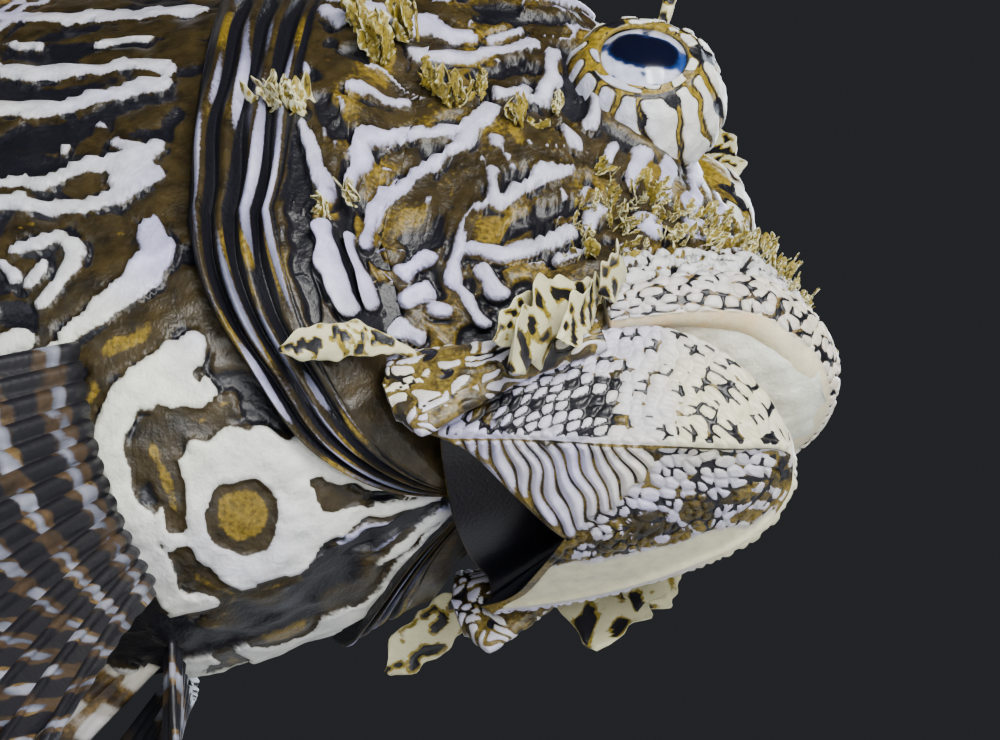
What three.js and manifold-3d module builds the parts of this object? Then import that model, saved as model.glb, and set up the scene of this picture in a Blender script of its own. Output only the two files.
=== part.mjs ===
// A life-size still model of a red lionfish, held on two rods over a flat base.
// Millimetres, +Z up. The fish is modelled along its own axis: s runs back from the tip of the snout, y to its left,
// z towards its back. The whole fish is then pitched nose down and banked, as it hangs in the water.
import * as THREE from "three";
import { mergeVertices } from "three/addons/utils/BufferGeometryUtils.js";
import Module from "manifold-3d";

const wasm = await Module();
wasm.setup();

// Driving sizes
const seam = 0.3;
const pitchDown = THREE.MathUtils.degToRad(10);
const bankLeft = THREE.MathUtils.degToRad(26.5);
const hangPoint = new THREE.Vector3(-112, 0, -2);
const hangHeight = 178;

// Colours and finishes
const finish = (color, roughness) => new THREE.MeshStandardMaterial({ color, roughness, metalness: 0 });
const skinFinish = finish(0x6b4a26, 0.55);
const finFinish = finish(0x7c5630, 0.6);
const eyeFinish = finish(0x0b1020, 0.12);
const baseFinish = finish(0x2b2420, 0.45);
const rodFinish = new THREE.MeshStandardMaterial({ color: 0xb9bcc0, roughness: 0.3, metalness: 1 });

const at = (s, y, z) => new THREE.Vector3(-s, y, z);
const mix = THREE.MathUtils.lerp;
const ease = (a, b, x) => THREE.MathUtils.smoothstep(x, a, b);

// A smooth line through stations [s, value, value, ...], read at any s.
function through(stations, s, column) {
  const last = stations.length - 1;
  if (s <= stations[0][0]) return stations[0][column];
  if (s >= stations[last][0]) return stations[last][column];
  let i = 0;
  while (stations[i + 1][0] < s) i++;
  const slope = (k) => {
    const a = stations[Math.max(k - 1, 0)];
    const b = stations[Math.min(k + 1, last)];
    return (b[column] - a[column]) / (b[0] - a[0]);
  };
  const [p, q] = [stations[i], stations[i + 1]];
  const h = q[0] - p[0];
  const t = (s - p[0]) / h;
  const t2 = t * t;
  const t3 = t2 * t;
  return (
    (2 * t3 - 3 * t2 + 1) * p[column] +
    (t3 - 2 * t2 + t) * h * slope(i) +
    (3 * t2 - 2 * t3) * q[column] +
    (t3 - t2) * h * slope(i + 1)
  );
}

// Solids and meshes
function solidFrom(points, triangles) {
  const geometry = new THREE.BufferGeometry();
  geometry.setAttribute("position", new THREE.Float32BufferAttribute(points.flatMap((p) => [p.x, p.y, p.z]), 3));
  geometry.setIndex(triangles.flat());
  return solidOf(geometry);
}

function solidOf(geometry) {
  const bare = geometry.clone();
  for (const name of Object.keys(bare.attributes)) if (name !== "position") bare.deleteAttribute(name);
  const merged = mergeVertices(bare, 1e-4);
  let solid = new wasm.Manifold(
    new wasm.Mesh({
      numProp: 3,
      vertProperties: merged.attributes.position.array,
      triVerts: new Uint32Array(merged.index.array),
    }),
  );
  if (solid.volume() < 0) {
    const turned = new Uint32Array(merged.index.array);
    for (let i = 0; i < turned.length; i += 3) [turned[i + 1], turned[i + 2]] = [turned[i + 2], turned[i + 1]];
    solid = new wasm.Manifold(
      new wasm.Mesh({ numProp: 3, vertProperties: merged.attributes.position.array, triVerts: turned }),
    );
  }
  return solid;
}

// A closed skin over rings of equal point counts. mirrored names the sides of a section whose faces are split the
// other way, so that the two faces of a thin membrane are split alike.
function overRings(rings, mirrored = new Set()) {
  const count = rings[0].length;
  const points = rings.flat();
  const triangles = [];
  for (let j = 0; j + 1 < rings.length; j++) {
    for (let i = 0; i < count; i++) {
      const a = j * count + i;
      const b = j * count + ((i + 1) % count);
      const c = a + count;
      const d = b + count;
      if (mirrored.has(i)) triangles.push([a, b, c], [b, d, c]);
      else triangles.push([a, b, d], [a, d, c]);
    }
  }
  for (const [j, turn] of [[0, true], [rings.length - 1, false]]) {
    const middle = rings[j].reduce((sum, p) => sum.add(p), new THREE.Vector3()).divideScalar(count);
    const hub = points.push(middle) - 1;
    for (let i = 0; i < count; i++) {
      const a = j * count + i;
      const b = j * count + ((i + 1) % count);
      triangles.push(turn ? [b, a, hub] : [a, b, hub]);
    }
  }
  return solidFrom(points, triangles);
}

const union = (solids) => wasm.Manifold.union(solids);

function largest(solid) {
  return solid.decompose().reduce((best, piece) => (piece.volume() > best.volume() ? piece : best));
}

function meshOf(name, solid, material) {
  const whole = largest(solid);
  const { numProp, vertProperties, triVerts } = whole.getMesh();
  const position = new Float32Array((vertProperties.length / numProp) * 3);
  for (let i = 0; i * numProp < vertProperties.length; i++)
    position.set(vertProperties.subarray(i * numProp, i * numProp + 3), i * 3);
  const geometry = new THREE.BufferGeometry();
  geometry.setAttribute("position", new THREE.BufferAttribute(position, 3));
  geometry.setIndex(new THREE.BufferAttribute(triVerts, 1));
  const mesh = new THREE.Mesh(geometry, material);
  mesh.name = name;
  return mesh;
}

// Body: stations of [s, top, bottom, half width, height of the widest line, roundness above, roundness below]
const bodyStations = [
  [6.2, -0.6, -4.0, 3.0, -2.0, 2.0, 2.0],
  [8.5, 3.4, -5.6, 6.6, -2.2, 2.0, 2.2],
  [12, 8.2, -6.2, 9.4, -2.4, 1.9, 2.3],
  [16, 13.0, -7.4, 11.6, -2.6, 1.8, 2.3],
  [21, 18.0, -9.8, 13.2, -2.8, 1.7, 2.3],
  [28, 26.5, -14.5, 14.8, -3.0, 2.1, 2.2],
  [35, 36.0, -18.5, 17.2, -3.6, 2.8, 1.9],
  [43, 42.0, -25.0, 19.8, -5.5, 3.0, 1.6],
  [52, 44.2, -33.6, 22.2, -8.0, 2.6, 1.8],
  [60, 45.0, -38.2, 24.2, -10.0, 2.3, 2.0],
  [68, 45.2, -41.2, 25.6, -11.0, 2.0, 2.1],
  [78, 45.0, -43.4, 26.0, -10.0, 1.9, 2.1],
  [92, 44.2, -44.4, 25.2, -8.0, 1.8, 2.1],
  [108, 42.6, -42.8, 23.0, -6.0, 1.8, 2.0],
  [132, 37.0, -37.5, 18.4, -4.0, 1.8, 2.0],
  [158, 28.0, -28.0, 13.0, -2.0, 1.8, 1.9],
  [184, 18.6, -18.2, 8.6, -0.5, 1.9, 1.9],
  [208, 12.8, -12.4, 5.4, 0.0, 2.0, 2.0],
  [228, 12.2, -12.0, 3.4, 0.0, 2.2, 2.2],
  [233, 10.6, -10.4, 2.2, 0.0, 2.2, 2.2],
];

// A point of the skin: s back from the snout, angle round the body from its left side over its back, grown outwards.
function bodyPoint(s, angle, grow = 0) {
  const read = (column) => through(bodyStations, s, column);
  const [top, bottom, width, wide] = [read(1) + grow, read(2) - grow, read(3) + grow, read(4)];
  const [c, v] = [Math.cos(angle), Math.sin(angle)];
  const power = 2 / (v >= 0 ? read(5) : read(6));
  const y = width * Math.sign(c) * Math.abs(c) ** power;
  const z = wide + (v >= 0 ? top - wide : wide - bottom) * Math.sign(v) * Math.abs(v) ** power;
  return at(s, y, z);
}

function bodyLoft(grow = 0) {
  const around = 30;
  const stops = [6.2, 7.2, 9.2, 12, 16, 20, 24, 28, 32, 36, 40, 44, 48, 52, 57, 62, 68, 75, 84, 96, 108, 122, 138, 154,
    170, 186, 200, 214, 226, 233];
  const rings = stops.map((s) =>
    Array.from({ length: around }, (_, i) => bodyPoint(s, (i / around) * 2 * Math.PI, grow)),
  );
  return overRings(rings);
}

// A round-section tube along a line, with its own width and height at each stop.
function tube(line, stops, sides, size, lean = new THREE.Vector3(0, 0, 1)) {
  const rings = [];
  for (let j = 0; j <= stops; j++) {
    const t = j / stops;
    const centre = line.getPoint(t);
    const along = line.getTangent(t);
    const across = new THREE.Vector3().crossVectors(along, lean).normalize();
    const up = new THREE.Vector3().crossVectors(across, along).normalize();
    const [wide, tall] = size(t);
    rings.push(
      Array.from({ length: sides }, (_, i) => {
        const a = (i / sides) * 2 * Math.PI;
        return centre
          .clone()
          .addScaledVector(across, Math.cos(a) * wide)
          .addScaledVector(up, Math.sin(a) * tall);
      }),
    );
  }
  return overRings(rings);
}

function ball(centre, radius, across, down) {
  const geometry = new THREE.SphereGeometry(radius, across, down);
  geometry.translate(centre.x, centre.y, centre.z);
  return solidOf(geometry);
}

// Eyes: a ball under a thin bulging skin, which opens in a round window over the iris
const eyeRadius = 7.3;
const lidThick = 0.7;
const windowRadius = 5.0;
const eyePlace = (side) => at(31.8, side * 10.0, 25.8);
const eyeGaze = (side) => new THREE.Vector3(0.23, side * 0.97, -0.07).normalize();

const eyeBall = (side, radius) => ball(eyePlace(side), radius, 14, 9);

function eyeBulge(side, grow = 0) {
  const geometry = new THREE.SphereGeometry(eyeRadius + seam + lidThick + grow, 16, 11);
  geometry.scale(1.05, 1, 1);
  const place = eyePlace(side);
  geometry.translate(place.x, place.y, place.z);
  return solidOf(geometry);
}

function eyeSocket(side) {
  const window = new THREE.CylinderGeometry(windowRadius, windowRadius, 14, 16);
  window.rotateX(Math.PI / 2);
  window.lookAt(eyeGaze(side));
  const middle = eyePlace(side).addScaledVector(eyeGaze(side), 7);
  window.translate(middle.x, middle.y, middle.z);
  return union([eyeBall(side, eyeRadius + seam), solidOf(window)]);
}

// Upper lip: a thick roll round the front of the mouth, back to its corners
const lipLine = new THREE.CatmullRomCurve3([
  at(25, 14.2, -8.6),
  at(18.4, 12.4, -4.6),
  at(12.8, 9.2, -1.8),
  at(9.4, 5.1, -1.3),
  at(8.1, 0, -1.2),
  at(9.4, -5.1, -1.3),
  at(12.8, -9.2, -1.8),
  at(18.4, -12.4, -4.6),
  at(25, -14.2, -8.6),
]);

const upperLip = (grow = 0) =>
  tube(lipLine, 20, 9, (t) => {
    const full = Math.sin(Math.PI * t) ** 0.6;
    return [1.4 + 1.2 * full + grow, 1.8 + 1.8 * full + grow];
  });

// Jaw plate: the flat bone behind each corner of the mouth, widening to a rounded paddle
function jawPlate(side, grow = 0) {
  const line = new THREE.CatmullRomCurve3([
    at(18, side * 12.6, -5.6),
    at(25, side * 14.4, -11.4),
    at(33, side * 15.7, -17.9),
    at(39.5, side * 16.2, -22.5),
    at(42.5, side * 16.2, -24.5),
  ]);
  return tube(line, 8, 10, (t) => [
    1.25 + 0.25 * t + grow,
    (2.4 + 3.4 * ease(0.15, 0.8, t)) * Math.sqrt(1 - 0.86 * ease(0.82, 1, t)) + grow,
  ]);
}

// Lower jaw: [s, half width at the lip, height of the lip, half width at the fold under it, height of the fold, keel]
const jawStations = [
  [6.9, 1.6, -12.0, 1.5, -13.6, -14.0],
  [8, 4.4, -11.2, 4.0, -15.2, -16.0],
  [10, 7.2, -10.0, 6.0, -17.2, -18.0],
  [13, 9.9, -9.0, 7.6, -18.9, -20.0],
  [17, 11.9, -8.4, 9.0, -20.4, -22.2],
  [22, 13.2, -9.0, 10.4, -22.0, -24.6],
  [28, 14.2, -12.6, 11.8, -23.4, -26.6],
  [34, 14.6, -17.6, 12.7, -24.6, -28.0],
  [39, 14.0, -22.0, 13.0, -25.4, -28.4],
];

function lowerJaw() {
  const rings = [6.9, 7.6, 8.8, 10.8, 13.5, 17, 21, 25.5, 30, 34.5, 39].map((s) => {
    const [lipY, lipZ, foldY, foldZ, keel] = [1, 2, 3, 4, 5].map((k) => through(jawStations, s, k));
    const half = [
      [0.5 * lipY, lipZ - 0.16 * lipY],
      [0.86 * lipY, lipZ - 0.2],
      [lipY, lipZ - 0.5],
      [0.55 * lipY + 0.5 * foldY, 0.62 * lipZ + 0.38 * foldZ],
      [0.25 * lipY + 0.78 * foldY, 0.25 * lipZ + 0.75 * foldZ],
      [foldY, foldZ],
      [0.84 * foldY, 0.8 * foldZ + 0.2 * keel],
      [0.45 * foldY, 0.35 * foldZ + 0.65 * keel],
    ];
    return [
      at(s, 0, lipZ - 0.24 * lipY),
      ...half.map(([y, z]) => at(s, y, z)),
      at(s, 0, keel),
      ...half.reverse().map(([y, z]) => at(s, -y, z)),
    ];
  });
  return overRings(rings);
}

// Skin tabs: flat lobes on a narrow stalk, notched along their edge
function skinTab({ root, reach, droop, width, thick, lobes, flat }) {
  const middle = root.clone().addScaledVector(reach, 0.5).add(droop);
  const line = new THREE.QuadraticBezierCurve3(root, middle, root.clone().add(reach));
  return tube(
    line,
    8,
    7,
    (t) => {
      const outline = 0.32 + 0.68 * ease(0.2, 0.62, t);
      const notch = 1 - 0.22 * (0.5 + 0.5 * Math.cos(lobes * 2 * Math.PI * t));
      const tip = Math.sqrt(1 - 0.9 * ease(0.8, 1, t) ** 1.5);
      return [thick * (1 - 0.35 * t), width * outline * notch * tip];
    },
    flat,
  );
}

const faceTabs = [
  { root: [26.5, 14.4, -5.5], reach: [-3.2, 6.4, -17.6], droop: [0, 1.6, 0.6], width: 3.0, thick: 0.8 },
  { root: [41.0, 16.8, -19.0], reach: [-10.6, 7.6, -7.2], droop: [0, 0.6, 1.6], width: 2.7, thick: 0.8 },
];
const cheekTabs = [
  { root: [51, 21.0, 15.5], reach: [-5.5, 4.0, 4.5], droop: [0, 1.2, 0.8], width: 2.4, thick: 0.7 },
  { root: [57, 24.5, 6.5], reach: [-8.0, 3.6, 1.5], droop: [0, 1.4, 0.4], width: 1.9, thick: 0.7 },
  { root: [53, 24.0, -7.0], reach: [-6.0, 3.4, -1.0], droop: [0, 1.2, 0.2], width: 1.5, thick: 0.7 },
];

const tabs = (plan, side) =>
  plan.map(({ root, reach, droop, width, thick }) =>
    skinTab({
      root: at(root[0], side * root[1], root[2]),
      reach: new THREE.Vector3(reach[0], side * reach[1], reach[2]),
      droop: new THREE.Vector3(droop[0], side * droop[1], droop[2]),
      width,
      thick,
      lobes: 3,
      flat: new THREE.Vector3(-0.07, -0.69, 0.72),
    }),
  );

// Nostrils: a short tube each side of the snout
const nostril = (side) =>
  tube(
    new THREE.LineCurve3(at(19.5, side * 5.0, 12.0), at(16.5, side * 6.0, 17.6)),
    3,
    8,
    (t) => [1.1 - 0.25 * t, 1.1 - 0.25 * t],
    new THREE.Vector3(0, 1, 0),
  );

// A thin cut across the whole body: a slab one seam thick, square to the side view, through two points [s, z]
function crossCut([s0, z0], [s1, z1], reach = 160) {
  const along = new THREE.Vector2(s1 - s0, z1 - z0).normalize();
  const slab = new THREE.BoxGeometry(seam, reach, reach);
  slab.rotateY(-Math.atan2(along.x, along.y));
  slab.translate(-(s0 + s1) / 2, 0, (z0 + z1) / 2);
  return solidOf(slab);
}

// Gill cover: a bony plate over the cheek, then a soft skin with four folds that runs down and forward under the
// throat. Its front and hind edges are [angle from the widest line in degrees, s].
const coverFront = [[-84, 37.5], [-62, 40], [-40, 43], [-15, 46], [8, 49], [30, 52], [54, 55]];
const coverBack = [[-84, 39.5], [-70, 45], [-55, 50.5], [-33, 57], [-17, 62], [1, 66.5], [11, 69.5], [31, 75], [54, 81]];
const coverEnds = [-84, 54];
const foldCount = 4;

function gillCover(side) {
  const rows = 11;
  const columns = 12;
  const outer = [];
  const inner = [];
  for (let j = 0; j <= rows; j++) {
    const degrees = mix(coverEnds[0], coverEnds[1], j / rows);
    const [front, back] = [through(coverFront, degrees, 1), through(coverBack, degrees, 1)];
    const angle = THREE.MathUtils.degToRad(side > 0 ? degrees : 180 - degrees);
    const ends = Math.sqrt(Math.sin((Math.PI * (j + 0.6)) / (rows + 1.2)));
    for (let i = 0; i <= columns; i++) {
      const t = i / columns;
      const s = mix(front, back, t);
      const plate = 0.6 + 1.6 * ease(0, 0.3, t) - 1.0 * ease(0.5, 0.62, t);
      const folds = t > 0.5 ? 0.45 * Math.sin(2 * Math.PI * foldCount * (t - 0.5) * 2 - Math.PI / 2) : 0;
      outer.push(bodyPoint(s, angle, seam + 0.9 + (plate + folds * ease(0.5, 0.62, t)) * ends));
      inner.push(bodyPoint(s, angle, -0.6 + 1.2 * ease(0.7, 1, t) * ends));
    }
  }
  const points = [...outer, ...inner];
  const under = outer.length;
  const wide = columns + 1;
  const triangles = [];
  for (let j = 0; j < rows; j++) {
    for (let i = 0; i < columns; i++) {
      const a = j * wide + i;
      const b = a + 1 + wide;
      triangles.push([a, a + 1, b], [a, b, a + wide]);
      triangles.push([under + a, under + b, under + a + 1], [under + a, under + a + wide, under + b]);
    }
  }
  const edge = [];
  for (let i = 0; i < columns; i++) edge.push(i);
  for (let j = 0; j < rows; j++) edge.push(j * wide + columns);
  for (let i = columns; i > 0; i--) edge.push(rows * wide + i);
  for (let j = rows; j > 0; j--) edge.push(j * wide);
  edge.forEach((a, k) => {
    const b = edge[(k + 1) % edge.length];
    triangles.push([b, a, under + a], [b, under + a, under + b]);
  });
  return solidFrom(points, triangles);
}

// Fins. A ray is a curve from root to tip with a strip of membrane behind it that reaches the next ray as far as the
// web goes, and stands free beyond that.
function rayLine({ root, aim, length, sweep }) {
  const tip = root.clone().addScaledVector(aim, length);
  const middle = root.clone().addScaledVector(aim, length * 0.5).add(sweep.clone().multiplyScalar(length));
  return new THREE.QuadraticBezierCurve3(root, middle, tip);
}

function raySolid(line, next, { stops, core, tipCore, sheet, web, free }) {
  const rings = [];
  for (let j = 0; j <= stops; j++) {
    const t = j / stops;
    const p = line.getPoint(t);
    const toNext = next.getPoint(t).sub(p);
    const gap = toNext.length();
    toNext.normalize();
    const along = line.getTangent(t);
    const face = new THREE.Vector3().crossVectors(along, toNext).normalize();
    const beyond = ease(web, Math.min(web + 0.16, 1), t);
    const loose = free * Math.sqrt(1 - 0.92 * t * t);
    const width = web >= 1 ? gap : THREE.MathUtils.lerp(gap + 0.3, Math.min(loose, gap * 0.8), beyond);
    const thick = THREE.MathUtils.lerp(core, tipCore, t) / 2;
    const hem = Math.min(sheet / 2, thick);
    const far = p.clone().addScaledVector(toNext, Math.max(width, thick * 1.5));
    rings.push([
      p.clone().addScaledVector(toNext, -thick),
      p.clone().addScaledVector(face, thick),
      far.clone().addScaledVector(face, hem),
      far.clone().addScaledVector(face, -hem),
      p.clone().addScaledVector(face, -thick),
    ]);
  }
  return overRings(rings, new Set([3, 4]));
}

function fin(rays, shape) {
  const lines = rays.map(rayLine);
  const solids = lines.map((line, i) => {
    const next = lines[i + 1];
    if (next) return raySolid(line, next, shape);
    const back = lines[i - 1];
    const mirror = {
      getPoint: (t) => line.getPoint(t).multiplyScalar(2).sub(back.getPoint(t)),
    };
    return raySolid(line, mirror, { ...shape, web: 0, free: shape.core * 1.2 });
  });
  return union(solids);
}

const spread = (count, ray) => Array.from({ length: count }, (_, i) => ray(i / (count - 1), i));
const topOf = (s) => through(bodyStations, s, 1);
const bottomOf = (s) => through(bodyStations, s, 2);
const leaning = (degrees, up = 1) => {
  const a = THREE.MathUtils.degToRad(degrees);
  return new THREE.Vector3(-Math.sin(a), 0, up * Math.cos(a));
};

// Spiny part of the back fin: thirteen long spines, each with its own ragged flap and only a low web between them
const spineLengths = [40, 59, 73, 81, 85, 86, 84, 80, 74, 65, 54, 42, 44];
const spinyDorsal = () =>
  fin(
    spread(13, (f, i) => ({
      root: at(mix(64, 143, f), 0, topOf(mix(64, 143, f)) - 4),
      aim: leaning(mix(8, 40, f)),
      length: spineLengths[i],
      sweep: new THREE.Vector3(0.03, 0, 0.02),
    })),
    { stops: 5, core: 2.3, tipCore: 1.0, sheet: 0.8, web: 0.3, free: 5.2 },
  );

// Soft part of the back fin
const softDorsal = () =>
  fin(
    spread(9, (f) => ({
      root: at(mix(153, 190, f), 0, topOf(mix(153, 190, f)) - 3),
      aim: leaning(mix(50, 68, f)),
      length: 26 + 30 * Math.sin(Math.PI * mix(0.22, 0.8, f)),
      sweep: new THREE.Vector3(0, 0, 0.05),
    })),
    { stops: 5, core: 1.5, tipCore: 0.8, sheet: 0.7, web: 0.82, free: 2.4 },
  );

const analFin = () =>
  fin(
    spread(9, (f) => ({
      root: at(mix(153, 190, f), 0, bottomOf(mix(153, 190, f)) + 3),
      aim: leaning(mix(36, 66, f), -1),
      length: 22 + 34 * Math.sin(Math.PI * mix(0.12, 0.75, f)),
      sweep: new THREE.Vector3(0, 0, -0.05),
    })),
    { stops: 5, core: 1.5, tipCore: 0.8, sheet: 0.7, web: 0.82, free: 2.4 },
  );

const tailFin = () =>
  fin(
    spread(11, (f) => {
      const a = THREE.MathUtils.degToRad(mix(26, -26, f));
      return {
        root: at(226, 0, mix(10, -10, f)),
        aim: new THREE.Vector3(-Math.cos(a), 0, Math.sin(a)),
        length: 60 + 17 * Math.sin(Math.PI * f),
        sweep: new THREE.Vector3(0, 0, mix(0.03, -0.03, f)),
      };
    }),
    { stops: 4, core: 1.6, tipCore: 0.8, sheet: 0.7, web: 0.86, free: 2.4 },
  );

const pelvicFin = (side) =>
  fin(
    spread(6, (f) => ({
      root: at(mix(70, 80, f), side * mix(10.5, 4.5, f), bottomOf(75) + 4),
      aim: new THREE.Vector3(mix(-0.62, -0.86, f), side * mix(0.36, 0.16, f), mix(-0.62, -0.46, f)).normalize(),
      length: mix(50, 64, Math.sin(Math.PI * mix(0.1, 0.8, f))),
      sweep: new THREE.Vector3(0, side * 0.04, -0.05),
    })),
    { stops: 5, core: 1.8, tipCore: 0.9, sheet: 0.8, web: 0.8, free: 3.4 },
  );

// Breast fin: fourteen long rays round the fleshy base behind the gill opening, webbed for their inner third and
// feathered beyond it
const breastArc = (side) =>
  new THREE.CatmullRomCurve3([
    at(73, side * 23.4, -27.5),
    at(70.5, side * 20.8, -33.5),
    at(68.5, side * 17.0, -37.8),
    at(66.5, side * 12.0, -40.6),
    at(65.5, side * 5.5, -41.0),
  ]);

const pectoralFin = (side) =>
  fin(
    spread(14, (f) => {
      const drop = THREE.MathUtils.degToRad(mix(54, 100, f));
      const out = mix(0.34, 0.36, f);
      const flat = Math.sqrt(1 - out * out);
      return {
        root: breastArc(side).getPoint(f),
        aim: new THREE.Vector3(-Math.cos(drop) * flat, side * out, -Math.sin(drop) * flat),
        length: mix(150, 66, f ** 1.2) * (0.86 + 0.14 * ease(0, 0.18, f)),
        sweep: new THREE.Vector3(0, side * 0.08, 0),
      };
    }),
    { stops: 5, core: 2.0, tipCore: 0.9, sheet: 0.8, web: 0.4, free: 6.0 },
  );

// Tentacle over each eye
const browTentacle = (side) =>
  skinTab({
    root: at(32, side * 10.8, 33.4),
    reach: new THREE.Vector3(-6, side * 9, 19),
    droop: new THREE.Vector3(3, side * 2, 2),
    width: 2.4,
    thick: 0.9,
    lobes: 4,
    flat: new THREE.Vector3(1, 0, 0.2),
  });

// Fish
const fish = new THREE.Group();
fish.rotation.set(-bankLeft, pitchDown, 0, "YXZ");
fish.updateMatrix();
const hung = hangPoint.clone().applyMatrix4(fish.matrix);
fish.position.set(-hung.x, -hung.y, hangHeight - hung.z);
fish.updateMatrix();

const body = bodyLoft();
const bodyGrown = bodyLoft(seam);
const sides = [1, -1];
const whole = union([
  body,
  upperLip(),
  ...sides.flatMap((side) => [eyeBulge(side), jawPlate(side), nostril(side)]),
]);
const neckCut = crossCut([44, -32], [76, 40]);
const tailCut = crossCut([192, -10], [192, 10]);
const sockets = union(sides.map(eyeSocket));
const parted = whole.subtract(union([neckCut, tailCut, sockets])).decompose();
const middleOf = (solid) => {
  const { min, max } = solid.boundingBox();
  return -(min[0] + max[0]) / 2;
};
const bySize = parted.sort((a, b) => b.volume() - a.volume()).slice(0, 3);
const [bareHead, torso, tailStem] = bySize.sort((a, b) => middleOf(a) - middleOf(b));
const head = union([bareHead, ...sides.flatMap((side) => tabs(faceTabs, side))]);

const bulgesGrown = union(sides.map((side) => eyeBulge(side, seam)));
const headGrown = union([bodyGrown, upperLip(seam), ...sides.map((side) => jawPlate(side, seam))]);
const gular = new THREE.Shape();
gular.moveTo(-27, 0);
gular.lineTo(-41, -11.5);
gular.lineTo(-41, 11.5);
const notch = new THREE.ExtrudeGeometry(gular, { depth: 12, bevelEnabled: false });
notch.translate(0, 0, -33);
const jaw = lowerJaw().subtract(union([headGrown, solidOf(notch)]));
fish.add(meshOf("head", head, skinFinish));
fish.add(meshOf("lower_jaw", jaw, skinFinish));
fish.add(meshOf("torso", torso, skinFinish));
fish.add(meshOf("tail_stem", tailStem, skinFinish));

for (const [word, side] of [["left", 1], ["right", -1]]) {
  const cover = union([gillCover(side), ...tabs(cheekTabs, side)]);
  const clearOfCover = union([bodyGrown, jawPlate(side, seam), ...tabs(faceTabs, side), eyeBulge(side, seam)]);
  fish.add(meshOf("eye_" + word, eyeBall(side, eyeRadius), eyeFinish));
  fish.add(meshOf("gill_cover_" + word, cover.subtract(clearOfCover), skinFinish));
  fish.add(meshOf("brow_tentacle_" + word, browTentacle(side).subtract(union([bulgesGrown, bodyGrown])), skinFinish));
  fish.add(meshOf("pectoral_fin_" + word, pectoralFin(side).subtract(bodyGrown), finFinish));
  fish.add(meshOf("pelvic_fin_" + word, pelvicFin(side).subtract(bodyGrown), finFinish));
}
fish.add(meshOf("spiny_dorsal_fin", spinyDorsal().subtract(bodyGrown), finFinish));
fish.add(meshOf("soft_dorsal_fin", softDorsal().subtract(bodyGrown), finFinish));
fish.add(meshOf("anal_fin", analFin().subtract(bodyGrown), finFinish));
fish.add(meshOf("tail_fin", tailFin().subtract(bodyGrown), finFinish));

// Stand: a flat base and two rods up to the belly
const baseLength = 210;
const baseWidth = 126;
const baseThick = 12;
const baseCorner = 40;
const bevel = 1.5;
const rodRadius = 3;
const rodPlaces = [146, 176];
const rodAside = 5.5;

function baseSlab() {
  const [x, y, r] = [baseLength / 2 - bevel, baseWidth / 2 - bevel, baseCorner];
  const outline = new THREE.Shape();
  outline.moveTo(-x + r, -y);
  outline.lineTo(x - r, -y);
  outline.absarc(x - r, -y + r, r, -Math.PI / 2, 0);
  outline.lineTo(x, y - r);
  outline.absarc(x - r, y - r, r, 0, Math.PI / 2);
  outline.lineTo(-x + r, y);
  outline.absarc(-x + r, y - r, r, Math.PI / 2, Math.PI);
  outline.lineTo(-x, -y + r);
  outline.absarc(-x + r, -y + r, r, Math.PI, 1.5 * Math.PI);
  const slab = new THREE.ExtrudeGeometry(outline, {
    depth: baseThick - 2 * bevel,
    bevelThickness: bevel,
    bevelSize: bevel,
    bevelSegments: 1,
    curveSegments: 6,
  });
  slab.translate(0, 0, bevel);
  return solidOf(slab);
}

const root = new THREE.Group();
root.add(fish);
root.add(meshOf("stand_base", baseSlab(), baseFinish));
const bellyHung = bodyGrown.transform(fish.matrix.elements);
rodPlaces.forEach((s, i) => {
  const foot = at(s, rodAside, bottomOf(s)).applyMatrix4(fish.matrix);
  const rodTop = foot.z + 10;
  const rod = new THREE.CylinderGeometry(rodRadius, rodRadius, rodTop - baseThick - seam, 16);
  rod.rotateX(Math.PI / 2);
  rod.translate(foot.x, foot.y, (rodTop + baseThick + seam) / 2);
  root.add(meshOf("stand_rod_" + ["front", "rear"][i], solidOf(rod).subtract(bellyHung), rodFinish));
});

export default root;
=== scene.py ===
import bpy
import numpy as np
from mathutils import Matrix, Vector


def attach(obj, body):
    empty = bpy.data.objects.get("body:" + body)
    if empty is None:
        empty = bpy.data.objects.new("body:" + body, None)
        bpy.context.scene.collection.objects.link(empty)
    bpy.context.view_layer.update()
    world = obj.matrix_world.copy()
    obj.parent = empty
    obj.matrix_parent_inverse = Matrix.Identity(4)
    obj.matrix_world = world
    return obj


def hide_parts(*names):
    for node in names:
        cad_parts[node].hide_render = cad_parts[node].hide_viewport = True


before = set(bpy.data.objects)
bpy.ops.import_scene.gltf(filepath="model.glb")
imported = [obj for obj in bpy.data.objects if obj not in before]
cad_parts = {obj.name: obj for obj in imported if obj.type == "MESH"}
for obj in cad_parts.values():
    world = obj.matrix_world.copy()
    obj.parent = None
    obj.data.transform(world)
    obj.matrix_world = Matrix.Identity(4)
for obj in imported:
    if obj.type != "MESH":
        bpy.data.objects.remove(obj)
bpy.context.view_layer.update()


# Where the fish hangs, and the eye that looks at it. The fish is modelled along its own axis in millimetres,
# s back from the tip of the snout, then turned nose down and banked over its stand. The viewer is close under
# its face.
nose_down, bank = np.radians(10), np.radians(26.5)
hang_point, hang_height = np.array([-112, 0, -2]), 178
pitch_turn = np.array([
    [np.cos(nose_down), 0, np.sin(nose_down)],
    [0, 1, 0],
    [-np.sin(nose_down), 0, np.cos(nose_down)],
])
bank_turn = np.array([
    [1, 0, 0],
    [0, np.cos(bank), np.sin(bank)],
    [0, -np.sin(bank), np.cos(bank)],
])
turn = pitch_turn @ bank_turn
hung = np.array([0, 0, hang_height]) - turn @ hang_point


def in_room(points):
    """Fish millimetres to metres over the base: turned nose down and banked, then lifted to its hanging
    point."""
    return (np.asarray(points, float) @ turn.T + hung) / 1000


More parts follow.
